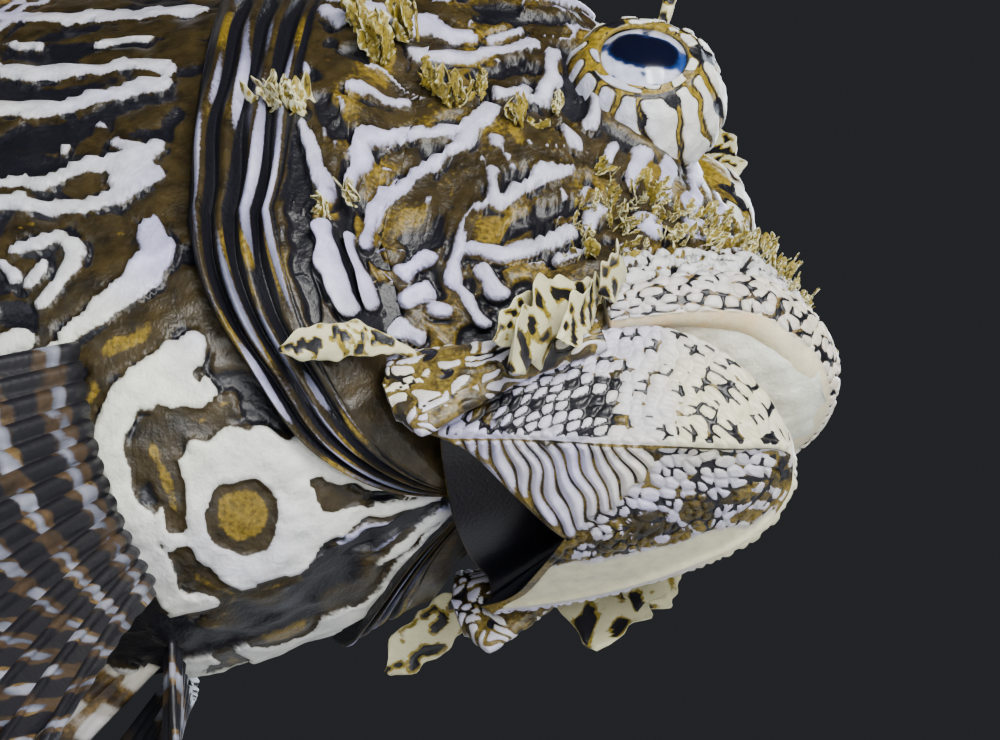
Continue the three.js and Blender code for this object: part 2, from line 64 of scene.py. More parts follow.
sight = np.array([
    [0.9377, 0.1993, 0.2845],
    [-0.0723, -0.6892, 0.7210],
    [0.3398, -0.6967, -0.6318],
])
first_turn, _, last_turn = np.linalg.svd(sight)
sight = first_turn @ last_turn
eye_point = in_room(np.array([-39.21, -0.33, 460.2]) @ sight)

camera = bpy.data.objects.new("camera", bpy.data.cameras.new("camera"))
camera.data.sensor_width = 36
camera.data.lens = 164.94
camera.data.clip_start = 0.02
camera.data.clip_end = 50
placing = np.eye(4)
placing[:3, :3] = turn @ sight.T
placing[:3, 3] = eye_point
camera.matrix_world = Matrix(placing.tolist())
bpy.context.collection.objects.link(camera)
bpy.context.scene.camera = camera


# Studio: a large soft light over the viewer's right shoulder, one under the face, a weaker one from the left,
# a rim from behind, a dark plain backdrop, and a plain pale floor that runs far enough to fill every view
# from above.
def soft_light(name, place, size, power, tint=(1, 1, 1)):
    """A square soft light at a place in the room, in metres, aimed at the fish's cheek."""
    lamp = bpy.data.lights.new(name, "AREA")
    lamp.energy, lamp.size, lamp.color = power, size, tint
    shown = bpy.data.objects.new(name, lamp)
    shown.location = place
    target = Vector(in_room([-40, -10, 0]).tolist())
    shown.rotation_euler = (Vector(place) - target).to_track_quat("Z", "Y").to_euler()
    bpy.context.collection.objects.link(shown)


soft_light("key_light", (0.50, -0.50, 0.40), 0.34, 8.2, (1, 0.985, 0.95))
soft_light("face_light", (0.50, -0.75, 0.02), 0.35, 4.5, (0.93, 0.96, 1))
soft_light("fill_light", (-0.6, -0.8, 0.35), 0.6, 2.6, (0.82, 0.90, 1))
soft_light("rim_light", (0.2, 0.8, 0.6), 0.5, 8, (0.8, 0.88, 1))

studio_air = bpy.data.worlds.new("studio_air")
bpy.context.scene.world = studio_air
studio_air.use_nodes = True
backdrop = studio_air.node_tree.nodes["Background"]
backdrop.inputs["Color"].default_value = (0.10, 0.105, 0.12, 1)
backdrop.inputs["Strength"].default_value = 0.22


def node(tree, kind, settings=None, **sockets):
    """A node in a material; each socket is given a value, or another node's output to read."""
    made = tree.nodes.new("ShaderNode" + kind)
    for key, value in (settings or {}).items():
        setattr(made, key, value)
    for key, value in sockets.items():
        spot = made.inputs[int(key[1:])] if key[0] == "_" else made.inputs[key.replace("_", " ")]
        if isinstance(value, bpy.types.NodeSocket):
            tree.links.new(value, spot)
        else:
            spot.default_value = value
    return made


def settle(shader, **constants):
    """Sets constants on the shader's own sockets."""
    for socket, value in constants.items():
        shader.inputs[socket.replace("_", " ")].default_value = value


def new_finish(name):
    """An empty material with its shader, ready for its nodes."""
    finish = bpy.data.materials.new(name)
    finish.use_nodes = True
    return finish, finish.node_tree, finish.node_tree.nodes["Principled BSDF"]


floor_finish, tree, shader = new_finish("pale_floor")
place = node(tree, "TexCoord").outputs["Object"]
dust = node(tree, "TexNoise", Vector=place, Scale=9, Detail=6)
shade = node(tree, "MapRange", Value=dust.outputs[0], To_Min=0.60, To_Max=0.66)
pale = node(tree, "CombineColor", Red=shade.outputs[0], Green=shade.outputs[0], Blue=shade.outputs[0])
tree.links.new(pale.outputs[0], shader.inputs["Base Color"])
settle(shader, Roughness=0.7)

floor_mesh = bpy.data.meshes.new("floor")
reach = 12
corners = [(-reach, -reach, 0), (reach, -reach, 0), (reach, reach, 0), (-reach, reach, 0)]
floor_mesh.from_pydata(corners, [], [(0, 1, 2, 3)])
floor = bpy.data.objects.new("floor", floor_mesh)
floor_mesh.materials.append(floor_finish)
bpy.context.collection.objects.link(floor)


# Skin of the head and trunk: one soft painted skin over the whole body, from the snout back to the root of
# the tail. It stands for the three flesh solids, so no joint shows between them. White and lavender marks lie
# on umber.
body_stations = np.array([
    [6.2, -0.6, -4.0, 3.0, -2.0, 2.0, 2.0],
    [8.5, 3.4, -5.6, 6.6, -2.2, 2.0, 2.2],
    [12, 8.2, -6.2, 9.4, -2.4, 1.9, 2.3],
    [16, 13.0, -7.4, 11.6, -2.6, 1.8, 2.3],
    [21, 18.0, -9.8, 13.2, -2.8, 1.7, 2.3],
    [28, 26.5, -14.5, 14.8, -3.0, 2.1, 2.2],
    [35, 36.0, -18.5, 17.2, -3.6, 2.8, 1.9],
    [43, 42.0, -25.0, 19.8, -5.5, 3.0, 1.6],
    [52, 44.2, -33.6, 22.2, -8.0, 2.6, 1.8],
    [60, 45.0, -38.2, 24.2, -10.0, 2.3, 2.0],
    [68, 45.2, -41.2, 25.6, -11.0, 2.0, 2.1],
    [78, 45.0, -43.4, 26.0, -10.0, 1.9, 2.1],
    [92, 44.2, -44.4, 25.2, -8.0, 1.8, 2.1],
    [108, 42.6, -42.8, 23.0, -6.0, 1.8, 2.0],
    [132, 37.0, -37.5, 18.4, -4.0, 1.8, 2.0],
    [158, 28.0, -28.0, 13.0, -2.0, 1.8, 1.9],
    [184, 18.6, -18.2, 8.6, -0.5, 1.9, 1.9],
    [208, 12.8, -12.4, 5.4, 0.0, 2.0, 2.0],
    [228, 12.2, -12.0, 3.4, 0.0, 2.2, 2.2],
    [233, 10.6, -10.4, 2.2, 0.0, 2.2, 2.2],
])


def through(stations, s, column):
    """A cubic through stations, read at s: each span is a Hermite curve whose end slopes span its
    neighbours."""
    x, y = stations[:, 0], stations[:, column]
    order = np.arange(len(x))
    before, after = np.maximum(order - 1, 0), np.minimum(order + 1, len(x) - 1)
    slope = (y[after] - y[before]) / (x[after] - x[before])
    s = np.clip(s, x[0], x[-1])
    i = np.clip(np.searchsorted(x, s, side="right") - 1, 0, len(x) - 2)
    h = x[i + 1] - x[i]
    t = (s - x[i]) / h
    return (
        (2 * t**3 - 3 * t**2 + 1) * y[i]
        + (t**3 - 2 * t**2 + t) * h * slope[i]
        + (3 * t**2 - 2 * t**3) * y[i + 1]
        + (t**3 - t**2) * h * slope[i + 1]
    )


def body(s, lift, side, grow=0.0):
    """The skin at s, lift degrees above the widest line, on one side (-1 right, 1 left): a superellipse
    section."""
    s, lift = np.broadcast_arrays(np.asarray(s, float), np.radians(lift))
    c, v = np.cos(lift), np.sin(lift)
    top, bottom = through(body_stations, s, 1) + grow, through(body_stations, s, 2) - grow
    width, wide = through(body_stations, s, 3) + grow, through(body_stations, s, 4)
    power = 2 / np.where(v >= 0, through(body_stations, s, 5), through(body_stations, s, 6))
    y = side * width * np.sign(c) * np.abs(c) ** power
    z = wide + np.where(v >= 0, top - wide, wide - bottom) * np.sign(v) * np.abs(v) ** power
    return np.stack([-s, y, z], -1)


def ease(a, b, x):
    """A smooth step from 0 at a to 1 at b."""
    t = np.clip((x - a) / (b - a), 0, 1)
    return t * t * (3 - 2 * t)


def ripple(points, size, seed, waves=14):
    """Smooth unevenness from -1 to 1, of about that size in millimetres: a sum of plane waves in seeded
    directions."""
    draw = np.random.default_rng(seed)
    ways = draw.normal(size=(waves, 3))
    ways *= (draw.uniform(0.6, 1.5, waves) / np.linalg.norm(ways, axis=1))[:, None]
    phases = draw.uniform(0, 2 * np.pi, waves)
    return np.sin(points @ ways.T * (2 * np.pi / (2 * size)) + phases).sum(-1) / np.sqrt(waves) / 1.3


def marks(points, chains):
    """How deep inside a set of marks each point lies, in millimetres, below 0 outside them: each mark is a
    chain of discs [x, y, z, radius] joined by straight tapers, and the depth is the radius less the distance
    to the chain."""
    inside = np.full(points.shape[:-1], -9.0)
    for chain in chains:
        chain = np.asarray(chain, float)
        if len(chain) == 1:
            chain = np.repeat(chain, 2, axis=0)
        for p, q in zip(chain[:-1], chain[1:]):
            along = q[:3] - p[:3]
            span = max(along @ along, 1e-9)
            t = np.clip(((points - p[:3]) @ along) / span, 0, 1)
            gap = np.linalg.norm(points - (p[:3] + t[..., None] * along), axis=-1)
            inside = np.maximum(inside, p[3] + t * (q[3] - p[3]) - gap)
    return inside


def cells(u, v, seed, jitter=0.8):
    """Irregular tiles over a plane of unit pitch, as neighbours of scattered seeds: returns how far inside
    its tile a point lies, about 0 to 0.5, and a number from 0 to 1 of each tile's own. Corners are rounded
    off by the distance to the tile's seed."""
    iu, iv = np.floor(u), np.floor(v)
    near, second, owner = np.full(u.shape, 9.0), np.full(u.shape, 9.0), np.zeros(u.shape)
    for du in (-1, 0, 1):
        for dv in (-1, 0, 1):
            cu, cv = iu + du, iv + dv
            h1 = np.sin(cu * 127.1 + cv * 311.7 + seed) * 43758.5453 % 1
            h2 = np.sin(cu * 269.5 + cv * 183.3 + seed) * 43758.5453 % 1
            gap = np.hypot(cu + 0.5 + jitter * (h1 - 0.5) - u, cv + 0.5 + jitter * (h2 - 0.5) - v)
            closer = gap < near
            second = np.where(closer, near, np.minimum(second, gap))
            owner = np.where(closer, h1, owner)
            near = np.minimum(near, gap)
    return np.minimum((second - near) / 2, 0.62 - near), owner


def outward(points):
    """Normals of a tube of points, from the cross product of its long way and its round way."""
    round_way = np.roll(points, -1, 1) - np.roll(points, 1, 1)
    normals = np.cross(np.gradient(points, axis=0), round_way)
    return normals / np.maximum(np.linalg.norm(normals, axis=-1, keepdims=True), 1e-9)


def mesh_piece(name, parts, finish, nodes, seam_normals=None):
    """A piece from closed grids: each part is rings of points (rings, around, 3) with paint (rings, around,
    4). Faces join neighbouring points. A part whose last ring is its first again is a loop, any other closes
    each end on a hub, and a part that came out inside-out is turned over. Seam normals, one for each point of
    the grid, shade it on without a break into the next piece."""
    spots, faces, paints, start = [], [], [], 0
    for points, paint in parts:
        loop = np.allclose(points[0], points[-1])
        if loop:
            points, paint = points[:-1], paint[:-1]
        rings, around = points.shape[:2]
        j, i = np.meshgrid(np.arange(rings if loop else rings - 1), np.arange(around), indexing="ij")
        near, far = j * around, (j + 1) % rings * around
        onward = (i + 1) % around
        quads = np.stack([near + i, near + onward, far + onward, far + i], -1).reshape(-1, 4)
        every = points.reshape(-1, 3)
        a, b, c, d = (every[quads[:, k]] - every.mean(0) for k in range(4))
        volume = np.einsum("ij,ij->", a, np.cross(b, c) + np.cross(c, d))
        colours = paint.reshape(-1, 4)
        caps = np.zeros((0, 3), int)
        if not loop:
            i, onward, last = i[0], onward[0], (rings - 1) * around
            hub = np.full(around, rings * around)
            caps = np.concatenate([np.stack([onward, i, hub], -1),
                                   np.stack([last + i, last + onward, hub + 1], -1)])
            every = np.concatenate([every, points[0].mean(0)[None], points[-1].mean(0)[None]])
            colours = np.concatenate([colours, paint[0].mean(0)[None], paint[-1].mean(0)[None]])
        if volume < 0:
            quads, caps = quads[:, ::-1], caps[:, ::-1]
        spots.append(every)
        paints.append(colours)
        faces += (quads + start).tolist() + (caps + start).tolist()
        start += len(every)
    shape = bpy.data.meshes.new(name)
    shape.from_pydata(in_room(np.concatenate(spots)).tolist(), [], faces)
    shape.polygons.foreach_set("use_smooth", np.ones(len(shape.polygons), bool))
    layer = shape.attributes.new("paint", "FLOAT_COLOR", "POINT")
    layer.data.foreach_set("color", np.concatenate(paints).astype(np.float32).ravel())
    shape.materials.append(finish)
    if seam_normals is not None:
        ways = np.zeros((len(shape.vertices), 3))
        ways[:-2] = seam_normals.reshape(-1, 3) @ turn.T
        shape.normals_split_custom_set_from_vertices(ways.tolist())
    piece = bpy.data.objects.new(name, shape)
    bpy.context.collection.objects.link(piece)
    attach(piece, "root")
    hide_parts(*nodes)


def painted_skin(name, umber, ochre, cool, warm, rough=0.42, grain=0.5, relief=0.25, edge=0.10, fray=0.34):
    """Painted fish skin. The paint attribute says where white (red), ochre (green) and black (blue) lie, and
    alpha turns the white from slate at -1 to cool at 0, warm at 1 and tan at 2. Noise frays each edge and
    mottles each colour; grain sets its size in mm. The white is painted darker towards the edges of its
    marks, as painted shade that rounds them, and in broad random patches."""
    finish, tree, shader = new_finish(name)
    place = node(tree, "TexCoord").outputs["Object"]
    paint = node(tree, "Attribute", {"attribute_name": "paint"})
    parts = node(tree, "SeparateColor", Color=paint.outputs["Color"])
    fine = node(tree, "TexNoise", Vector=place, Scale=1000 / grain, Detail=3, Roughness=0.55)
    broad = node(tree, "TexNoise", Vector=place, Scale=1000 / (grain * 5), Detail=4, Roughness=0.6)

    def spread(field, fray_by, low, high):
        """A paint field pushed about by noise, then cut to a crisp or a soft edge."""
        pushed = node(tree, "Math", {"operation": "MULTIPLY_ADD"}, _0=fine.outputs[0], _1=fray_by, _2=field)
        eased = {"interpolation_type": "SMOOTHSTEP"}
        return node(tree, "MapRange", eased, Value=pushed.outputs[0], From_Min=low, From_Max=high).outputs[0]

    middle = 0.5 + fray / 2
    white = spread(parts.outputs[0], fray, middle - edge, middle + edge)
    gold = spread(parts.outputs[1], 0.6, 0.58, 1.0)
    black = spread(parts.outputs[2], fray, middle - edge, middle + edge)

    def blend(fac, a, b):
        mixer = node(tree, "Mix", {"data_type": "RGBA"})
        for spot, value in ((0, fac), (6, a), (7, b)):
            if isinstance(value, bpy.types.NodeSocket):
                tree.links.new(value, mixer.inputs[spot])
            else:
                mixer.inputs[spot].default_value = value if spot == 0 else (*value, 1)
        return mixer.outputs[2]

    patchy = node(tree, "MapRange", Value=broad.outputs[0], From_Min=0.32, From_Max=0.68).outputs[0]
    specks = node(tree, "MapRange", Value=fine.outputs[0], From_Min=0.35, From_Max=0.7).outputs[0]
    under = blend(patchy, tuple(0.22 * k for k in umber), umber)
    golden = blend(specks, tuple(0.4 * k for k in ochre), ochre)
    unslated = node(tree, "MapRange", Value=paint.outputs["Alpha"], From_Min=-1, From_Max=0).outputs[0]
    tanned = node(tree, "MapRange", Value=paint.outputs["Alpha"], From_Min=1, From_Max=2).outputs[0]
    pale = blend(paint.outputs["Alpha"], blend(unslated, (0.07, 0.09, 0.13), cool), warm)
    pale = blend(tanned, pale, (0.72, 0.50, 0.25))
    # Painted shade: a darker copy of the pale, laid towards the edges of the white marks to round them, and
    # in broad patches.
    pale_in_painted_shade = blend(paint.outputs["Alpha"], blend(unslated, (0.04, 0.05, 0.08), tuple(0.6 * k for k in cool)),
                   tuple(0.74 * k for k in warm))
    deep = node(tree, "MapRange", Value=parts.outputs[0], From_Min=0.6, From_Max=0.95).outputs[0]
    deep = node(tree, "Math", {"operation": "MULTIPLY"}, _0=deep, _1=patchy).outputs[0]
    shaded = blend(deep, pale_in_painted_shade, pale)
    colour = blend(gold, under, golden)
    colour = blend(white, colour, shaded)
    colour = blend(black, colour, (0.006, 0.006, 0.010))
    tree.links.new(colour, shader.inputs["Base Color"])
    height = node(tree, "Math", {"operation": "MULTIPLY_ADD"}, _0=white, _1=0.5, _2=fine.outputs[0])
    bump = node(tree, "Bump", Height=height.outputs[0], Strength=0.55, Distance=relief / 1000)
    tree.links.new(bump.outputs[0], shader.inputs["Normal"])
    settle(shader, Roughness=rough, Specular_IOR_Level=0.45, Coat_Weight=0.12, Coat_Roughness=0.28,
           Subsurface_Weight=0.06, Subsurface_Radius=(1.0, 0.6, 0.35), Subsurface_Scale=0.0012)
    return finish


umber, ochre = (0.050, 0.034, 0.010), (0.27, 0.18, 0.015)
cool_white, warm_white = (0.66, 0.65, 0.97), (0.93, 0.94, 0.82)
skin_finish = painted_skin("fish_skin", umber, ochre, cool_white, warm_white)


def on_body(chains):
    """Marks given as chains of [s, lift, radius] on the right side, turned into points of the skin."""
    found = []
    for chain in chains:
        chain = np.array(chain, float)
        found.append(np.concatenate([body(chain[:, 0], chain[:, 1], -1), chain[:, 2:3]], 1))
    return found


white_marks = [
    [[107.4, 45, 1.3], [97.9, 43, 1.3], [92, 43, 1.6], [86.3, 44, 1.6], [81.5, 44, 1.4]],
    [[100.4, 26, 1], [91.1, 25, 1.1], [87.1, 26, 0.8], [82.8, 27, 0.8], [77.8, 26, 1]],
    [[96.2, 16, 1.2], [87.9, 17, 1.2], [84.1, 19, 0.9], [80.5, 21, 0.9], [77.6, 23, 1]],
    [[91.3, 2, 0.8], [83.4, 3, 0.8], [81.7, 5, 0.9], [78.5, 7, 1], [73.9, 10, 1.2]],
    [[89.5, -3, 0.8], [83.2, -1, 0.7], [80.8, -1, 0.7], [77.8, -1, 0.9], [75.2, 2, 1], [72.4, 6, 1.1]],
    [[74.3, 7, 1.4], [75.3, 5, 1]],
    [[83.2, -10, 0.5], [81.2, -9, 0.6], [79.2, -7, 0.5], [76.3, -10, 0.5], [76.7, -15, 0.6],
     [78.5, -21, 0.5]],
    [[79.4, -13, 0.5], [80.6, -17, 0.4]], [[84, -14, 0.4], [82.5, -16, 0.4]],
    [[68, -7, 1.3], [68.7, -13, 1.7], [70.3, -17, 1.4], [72.8, -23, 0.9], [74.8, -27, 0.6]],
    [[70.3, -2, 0.7], [69.3, -5, 0.9]], [[81, -29, 1.2], [79.3, -28, 1]], [[81.3, 14, 0.5]], [[83.9, 9, 0.4]],
    [[77.9, 11, 0.4], [75.9, 10, 0.5]], [[88.2, 33, 0.3], [82.8, 34, 0.3]],
    [[103.3, 34, 0.3], [95.3, 32, 0.3]],
    [[75.7, -30, 0.6], [76.6, -36, 0.7], [76.7, -42, 0.7], [74.6, -53, 0.8], [72.5, -67, 0.8],
     [72, -79, 0.8], [71.6, -90, 0.7]],
    [[79.3, -45, 0.4], [76.6, -53, 0.5], [74.3, -58, 0.6]],
    [[62.3, -29, 1.4], [64.6, -34, 2.2], [66, -38, 1.8]], [[64.5, -35, 2], [61.1, -38, 2]],
    [[67.9, -39, 1.4], [68.8, -46, 1.1], [68.3, -53, 0.9], [66.9, -62, 1], [65.4, -71, 1.4], [65, -81, 1.3],
     [63.1, -90, 1.2], [59.7, -90, 1.1], [56.6, -90, 1], [54.4, -90, 0.8]],
    [[51.6, -71, 2.3], [52.4, -78, 2.3], [54, -83, 2.3], [56.3, -85, 2.3], [58.5, -83, 2.3],
     [60.4, -78, 2.3], [61.6, -72, 2.3], [61.8, -65, 2.3], [61.2, -59, 2.3], [59.7, -55, 2.3],
     [57.7, -53, 2.3], [55.3, -53, 2.3], [53.3, -57, 2.3], [51.9, -63, 2.3], [51.6, -71, 2.3]],
    [[51.7, -55, 1.4], [48.2, -63, 1.3], [43.6, -72, 0.8], [39.5, -86, 0.3]],
    [[51.8, -78, 1.5], [49.5, -76, 1.2], [46.9, -77, 0.8], [43.8, -80, 0.5], [41, -85, 0.3]],
    [[62.9, -72, 1], [60.9, -69, 1.2]], [[69.1, 42, 0.6], [60.7, 29, 0.5]],
    [[65.6, 41, 1], [58.7, 32, 0.9], [55.8, 33, 1.3], [52.4, 34, 1.2], [48.9, 32, 0.5]],
    [[52.6, 51, 0.6], [47.1, 51, 0.7], [41.5, 68, 0.8]], [[52.5, 26, 0.7], [47.2, 27, 0.5], [42.2, 33, 0.7]],
    [[46.5, 33, 0.4], [44.7, 36, 0.5]], [[40.3, 34, 0.4], [38.9, 25, 0.6], [38.3, 21, 0.4]],
    [[43.1, 19, 0.8], [40.6, 21, 0.5]], [[40.3, 19, 0.5], [38.9, 21, 0.5]],
    [[55.3, 14, 0.6], [53.3, 15, 0.4], [51.4, 16, 0.4]],
    [[52.5, 8, 0.7], [50.5, 10, 0.5], [48.4, 11, 0.4], [45.1, 12, 0.5], [42.7, 15, 0.7]],
    [[52.5, 7, 0.6], [51.9, 4, 0.3], [51.6, 2, 0.3]],
    [[42.5, 14, 0.7], [45.1, 8, 0.5], [47.1, 5, 0.5], [48.9, 3, 0.7], [49.1, 1, 0.5], [49.2, 0, 0.3],
     [48.6, -7, 0.2]],
    [[37.8, 5, 0.4], [35.8, 8, 0.9], [33.9, 12, 0.6]], [[39.6, 4, 0.5], [38.3, 3, 0.6], [37.2, 4, 0.4]],
    [[39.1, -6, 0.5], [36.9, -6, 0.5], [34.3, 0, 0.6], [31.3, 4, 0.7]],
    [[40.6, 2, 0.3], [40.7, 0, 0.4], [40.6, -11, 0.5], [39.7, -20, 0.4], [37.8, -27, 0.4], [36.5, -32, 0.3]],
    [[45, -15, 0.6], [43.2, -11, 0.6]], [[44, -24, 0.9], [42.3, -22, 0.8]], [[41.2, -28, 0.6]],
    [[37.7, -13, 0.5], [35.6, -21, 0.6]], [[69.2, 30, 0.7], [64.7, 25, 0.7], [60.9, 18, 0.5]],
    [[58, 9, 0.6], [55.2, 4, 0.7], [53.2, 1, 0.7]], [[52.3, -5, 0.6], [50.6, -15, 0.8], [48.6, -25, 0.7]],
    [[49.8, -6, 0.3], [48.2, -16, 0.4], [46.9, -24, 0.3]], [[33.5, -31, 0.5], [31.5, -22, 0.5]],
    [[29.6, 13, 0.6], [29.6, 8, 0.5]], [[25.7, 20, 0.5], [23.5, 18, 0.5]], [[25.6, 7, 0.5]],
    [[21.8, 37, 0.6], [19.6, 28, 0.6]], [[31, -2, 0.5], [29, 2, 0.4]], [[44.3, -32, 0.7], [42.5, -35, 0.6]],
    [[34.5, 30, 0.3], [33.5, 24, 0.4]], [[35.6, 19, 0.3], [33.3, 18, 0.3]],
    [[30.9, 27, 0.5], [30.5, 20, 0.5]], [[28.4, 36, 0.7], [27.7, 26, 0.6]],
    [[26.3, 47, 0.8], [24.9, 31, 0.7]], [[25.7, 71, 0.7], [22.3, 41, 0.7]],
    [[23.3, 78, 0.5], [19.2, 47, 0.5]],
]
slate_marks = [
    [[52.5, -90, 0.6], [48.3, -90, 0.7], [43.6, -90, 0.6], [38.9, -90, 0.5]],
    [[51.7, -90, 0.5], [47.9, -90, 0.6], [43, -90, 0.5]],
    [[48.7, -83, 0.5], [44.4, -88, 0.5], [40.6, -90, 0.4]],
    [[78.5, -39, 0.5], [78.5, -48, 0.6], [76.6, -62, 0.7], [75, -76, 0.8], [74.6, -89, 0.8]],
    [[80.8, -54, 0.6], [79.4, -68, 0.7], [78.6, -84, 0.8]],
]
gold_marks = [
    [[79.8, 34, 0.8]], [[83.9, -6, 1.2], [81.4, -5, 1]], [[76, -5, 1], [72.3, -4, 1.2]], [[73.9, -10, 0.9]],
    [[66.6, -24, 1.6], [69.4, -29, 1.8]], [[66.1, -19, 1]], [[71.2, -37, 1.4], [71.3, -45, 1]],
    [[63.3, -43, 0.9], [60.5, -44, 1.2], [57.9, -42, 1.2]],
    [[64.9, -48, 1.2], [63.6, -54, 1.5], [62.7, -61, 1.3], [62.3, -67, 0.9]], [[56.6, -67, 3.5]],
    [[62.4, -75, 1.1], [61, -83, 1.3], [58.4, -90, 1.3], [55.2, -90, 1.1], [53, -90, 0.8]],
    [[50.3, -64, 0.8], [49.6, -70, 0.8], [47.9, -73, 0.5], [46.4, -75, 0.3]], [[61.1, -34, 0.6]],
    [[46.5, 1, 1.7], [44.9, 1, 1.3]], [[46.3, -7, 1.1]], [[38.9, 12, 1.6], [41, 14, 1.2]], [[36.3, 14, 1.1]],
    [[47.5, 17, 1.2], [49.6, 15, 0.9]], [[54.7, 24, 1.6], [53.9, 18, 1.2]], [[40.2, 1, 0.7], [37.8, 1, 0.9]],
    [[34.4, 6, 0.9], [33.6, 8, 0.8]], [[48.5, 7, 1.1]], [[38.6, 9, 0.8], [42.2, 5, 0.7], [44, 2, 0.8]],
    [[59.1, 20, 1.2]], [[47.5, 22, 0.8]], [[28.5, 21, 1.2], [30.9, 20, 1]], [[24.1, 26, 1.2]],
    [[19, 23, 1.2]], [[23.7, 7, 1]], [[29.6, 28, 0.6], [29.1, 20, 0.6]], [[26.8, 36, 0.6], [26.1, 26, 0.6]],
    [[24.8, 48, 0.6], [23.2, 33, 0.6]], [[25.6, 79, 0.7], [21.3, 49, 0.7]], [[30.4, -11, 0.8]],
    [[54, 10, 0.8]],
]
black_marks = [
    [[88.2, 33, 0.9], [82.6, 33, 0.8], [94.2, 33, 0.5]], [[89.1, 10, 1], [83.4, 11, 1.2], [80.8, 16, 0.5]],
    [[74.3, 18, 0.6], [73.1, 13, 0.7]], [[83.4, 1, 0.3], [81.8, 1, 0.3]],
    [[79.2, -10, 0.4], [78.3, -14, 0.4]], [[83.2, -15, 0.8]], [[81.7, -23, 1.2], [79.1, -25, 0.8]],
    [[72.6, -6, 0.4]], [[89.5, 21, 0.4], [85.2, 22, 0.4], [81.9, 24, 0.3]],
    [[72.4, -35, 0.9], [71.6, -45, 1.1], [70, -58, 1.2], [68.7, -72, 1.2], [68.3, -86, 1.2]],
    [[79.1, -33, 0.8]], [[75.6, -60, 0.8], [73.9, -71, 0.9], [73.1, -84, 0.9]],
    [[63.3, -56, 0.4], [62.6, -63, 0.5]], [[50.3, -65, 0.3], [49.6, -69, 0.4]],
    [[57.6, -40, 0.5], [55, -47, 0.6]], [[51.2, -90, 0.9], [47.2, -90, 1], [42.5, -90, 0.9]],
    [[49.6, -90, 0.9], [44.9, -90, 0.9], [39.3, -90, 0.8]], [[53.9, -90, 0.8], [52.4, -90, 0.8]],
    [[34.3, 4, 1], [32, 8, 0.9]], [[38.4, 39, 0.8], [37, 30, 1], [35.2, 24, 0.9]],
    [[49.5, 22, 0.8], [45.3, 23, 0.9], [41.2, 26, 0.7]], [[49.2, 40, 0.7], [44.3, 42, 0.8], [39.7, 50, 0.8]],
    [[46.7, -12, 0.6], [48.2, -8, 0.5]], [[44.5, 9, 0.6], [47.2, 8, 0.6]], [[42.9, 3, 0.5], [44.2, -2, 0.5]],
    [[57.8, 13, 0.8], [54.5, 8, 0.8]],
    [[60.7, 12, 0.8], [57.8, 5, 0.9], [54.7, 0, 1], [53.1, -14, 1.2], [51.1, -26, 0.9]],
    [[51.7, 1, 0.5], [50.9, -4, 0.7], [48.5, -22, 0.5]], [[46, -21, 0.8], [45.2, -28, 0.8]],
    [[38.6, -19, 0.5]], [[36.3, 1, 0.7], [34.2, 3, 0.6]], [[41.2, -22, 0.6], [42, -15, 0.4]],
    [[37, -36, 0.8], [35, -28, 0.7], [33.9, -19, 0.7]], [[65.7, 33, 0.7]], [[60.6, 25, 0.7]],
    [[64.6, 20, 0.7], [70.5, 35, 0.6]], [[27.2, 8, 0.5]], [[30.3, 6, 0.5]], [[22.4, 19, 0.5]],
    [[19.1, 13, 0.4]], [[53.4, 23, 0.7]], [[42.6, 27, 0.4], [44, 24, 0.4]], [[31.3, 15, 0.6]],
    [[43.8, 0, 0.5]],
]


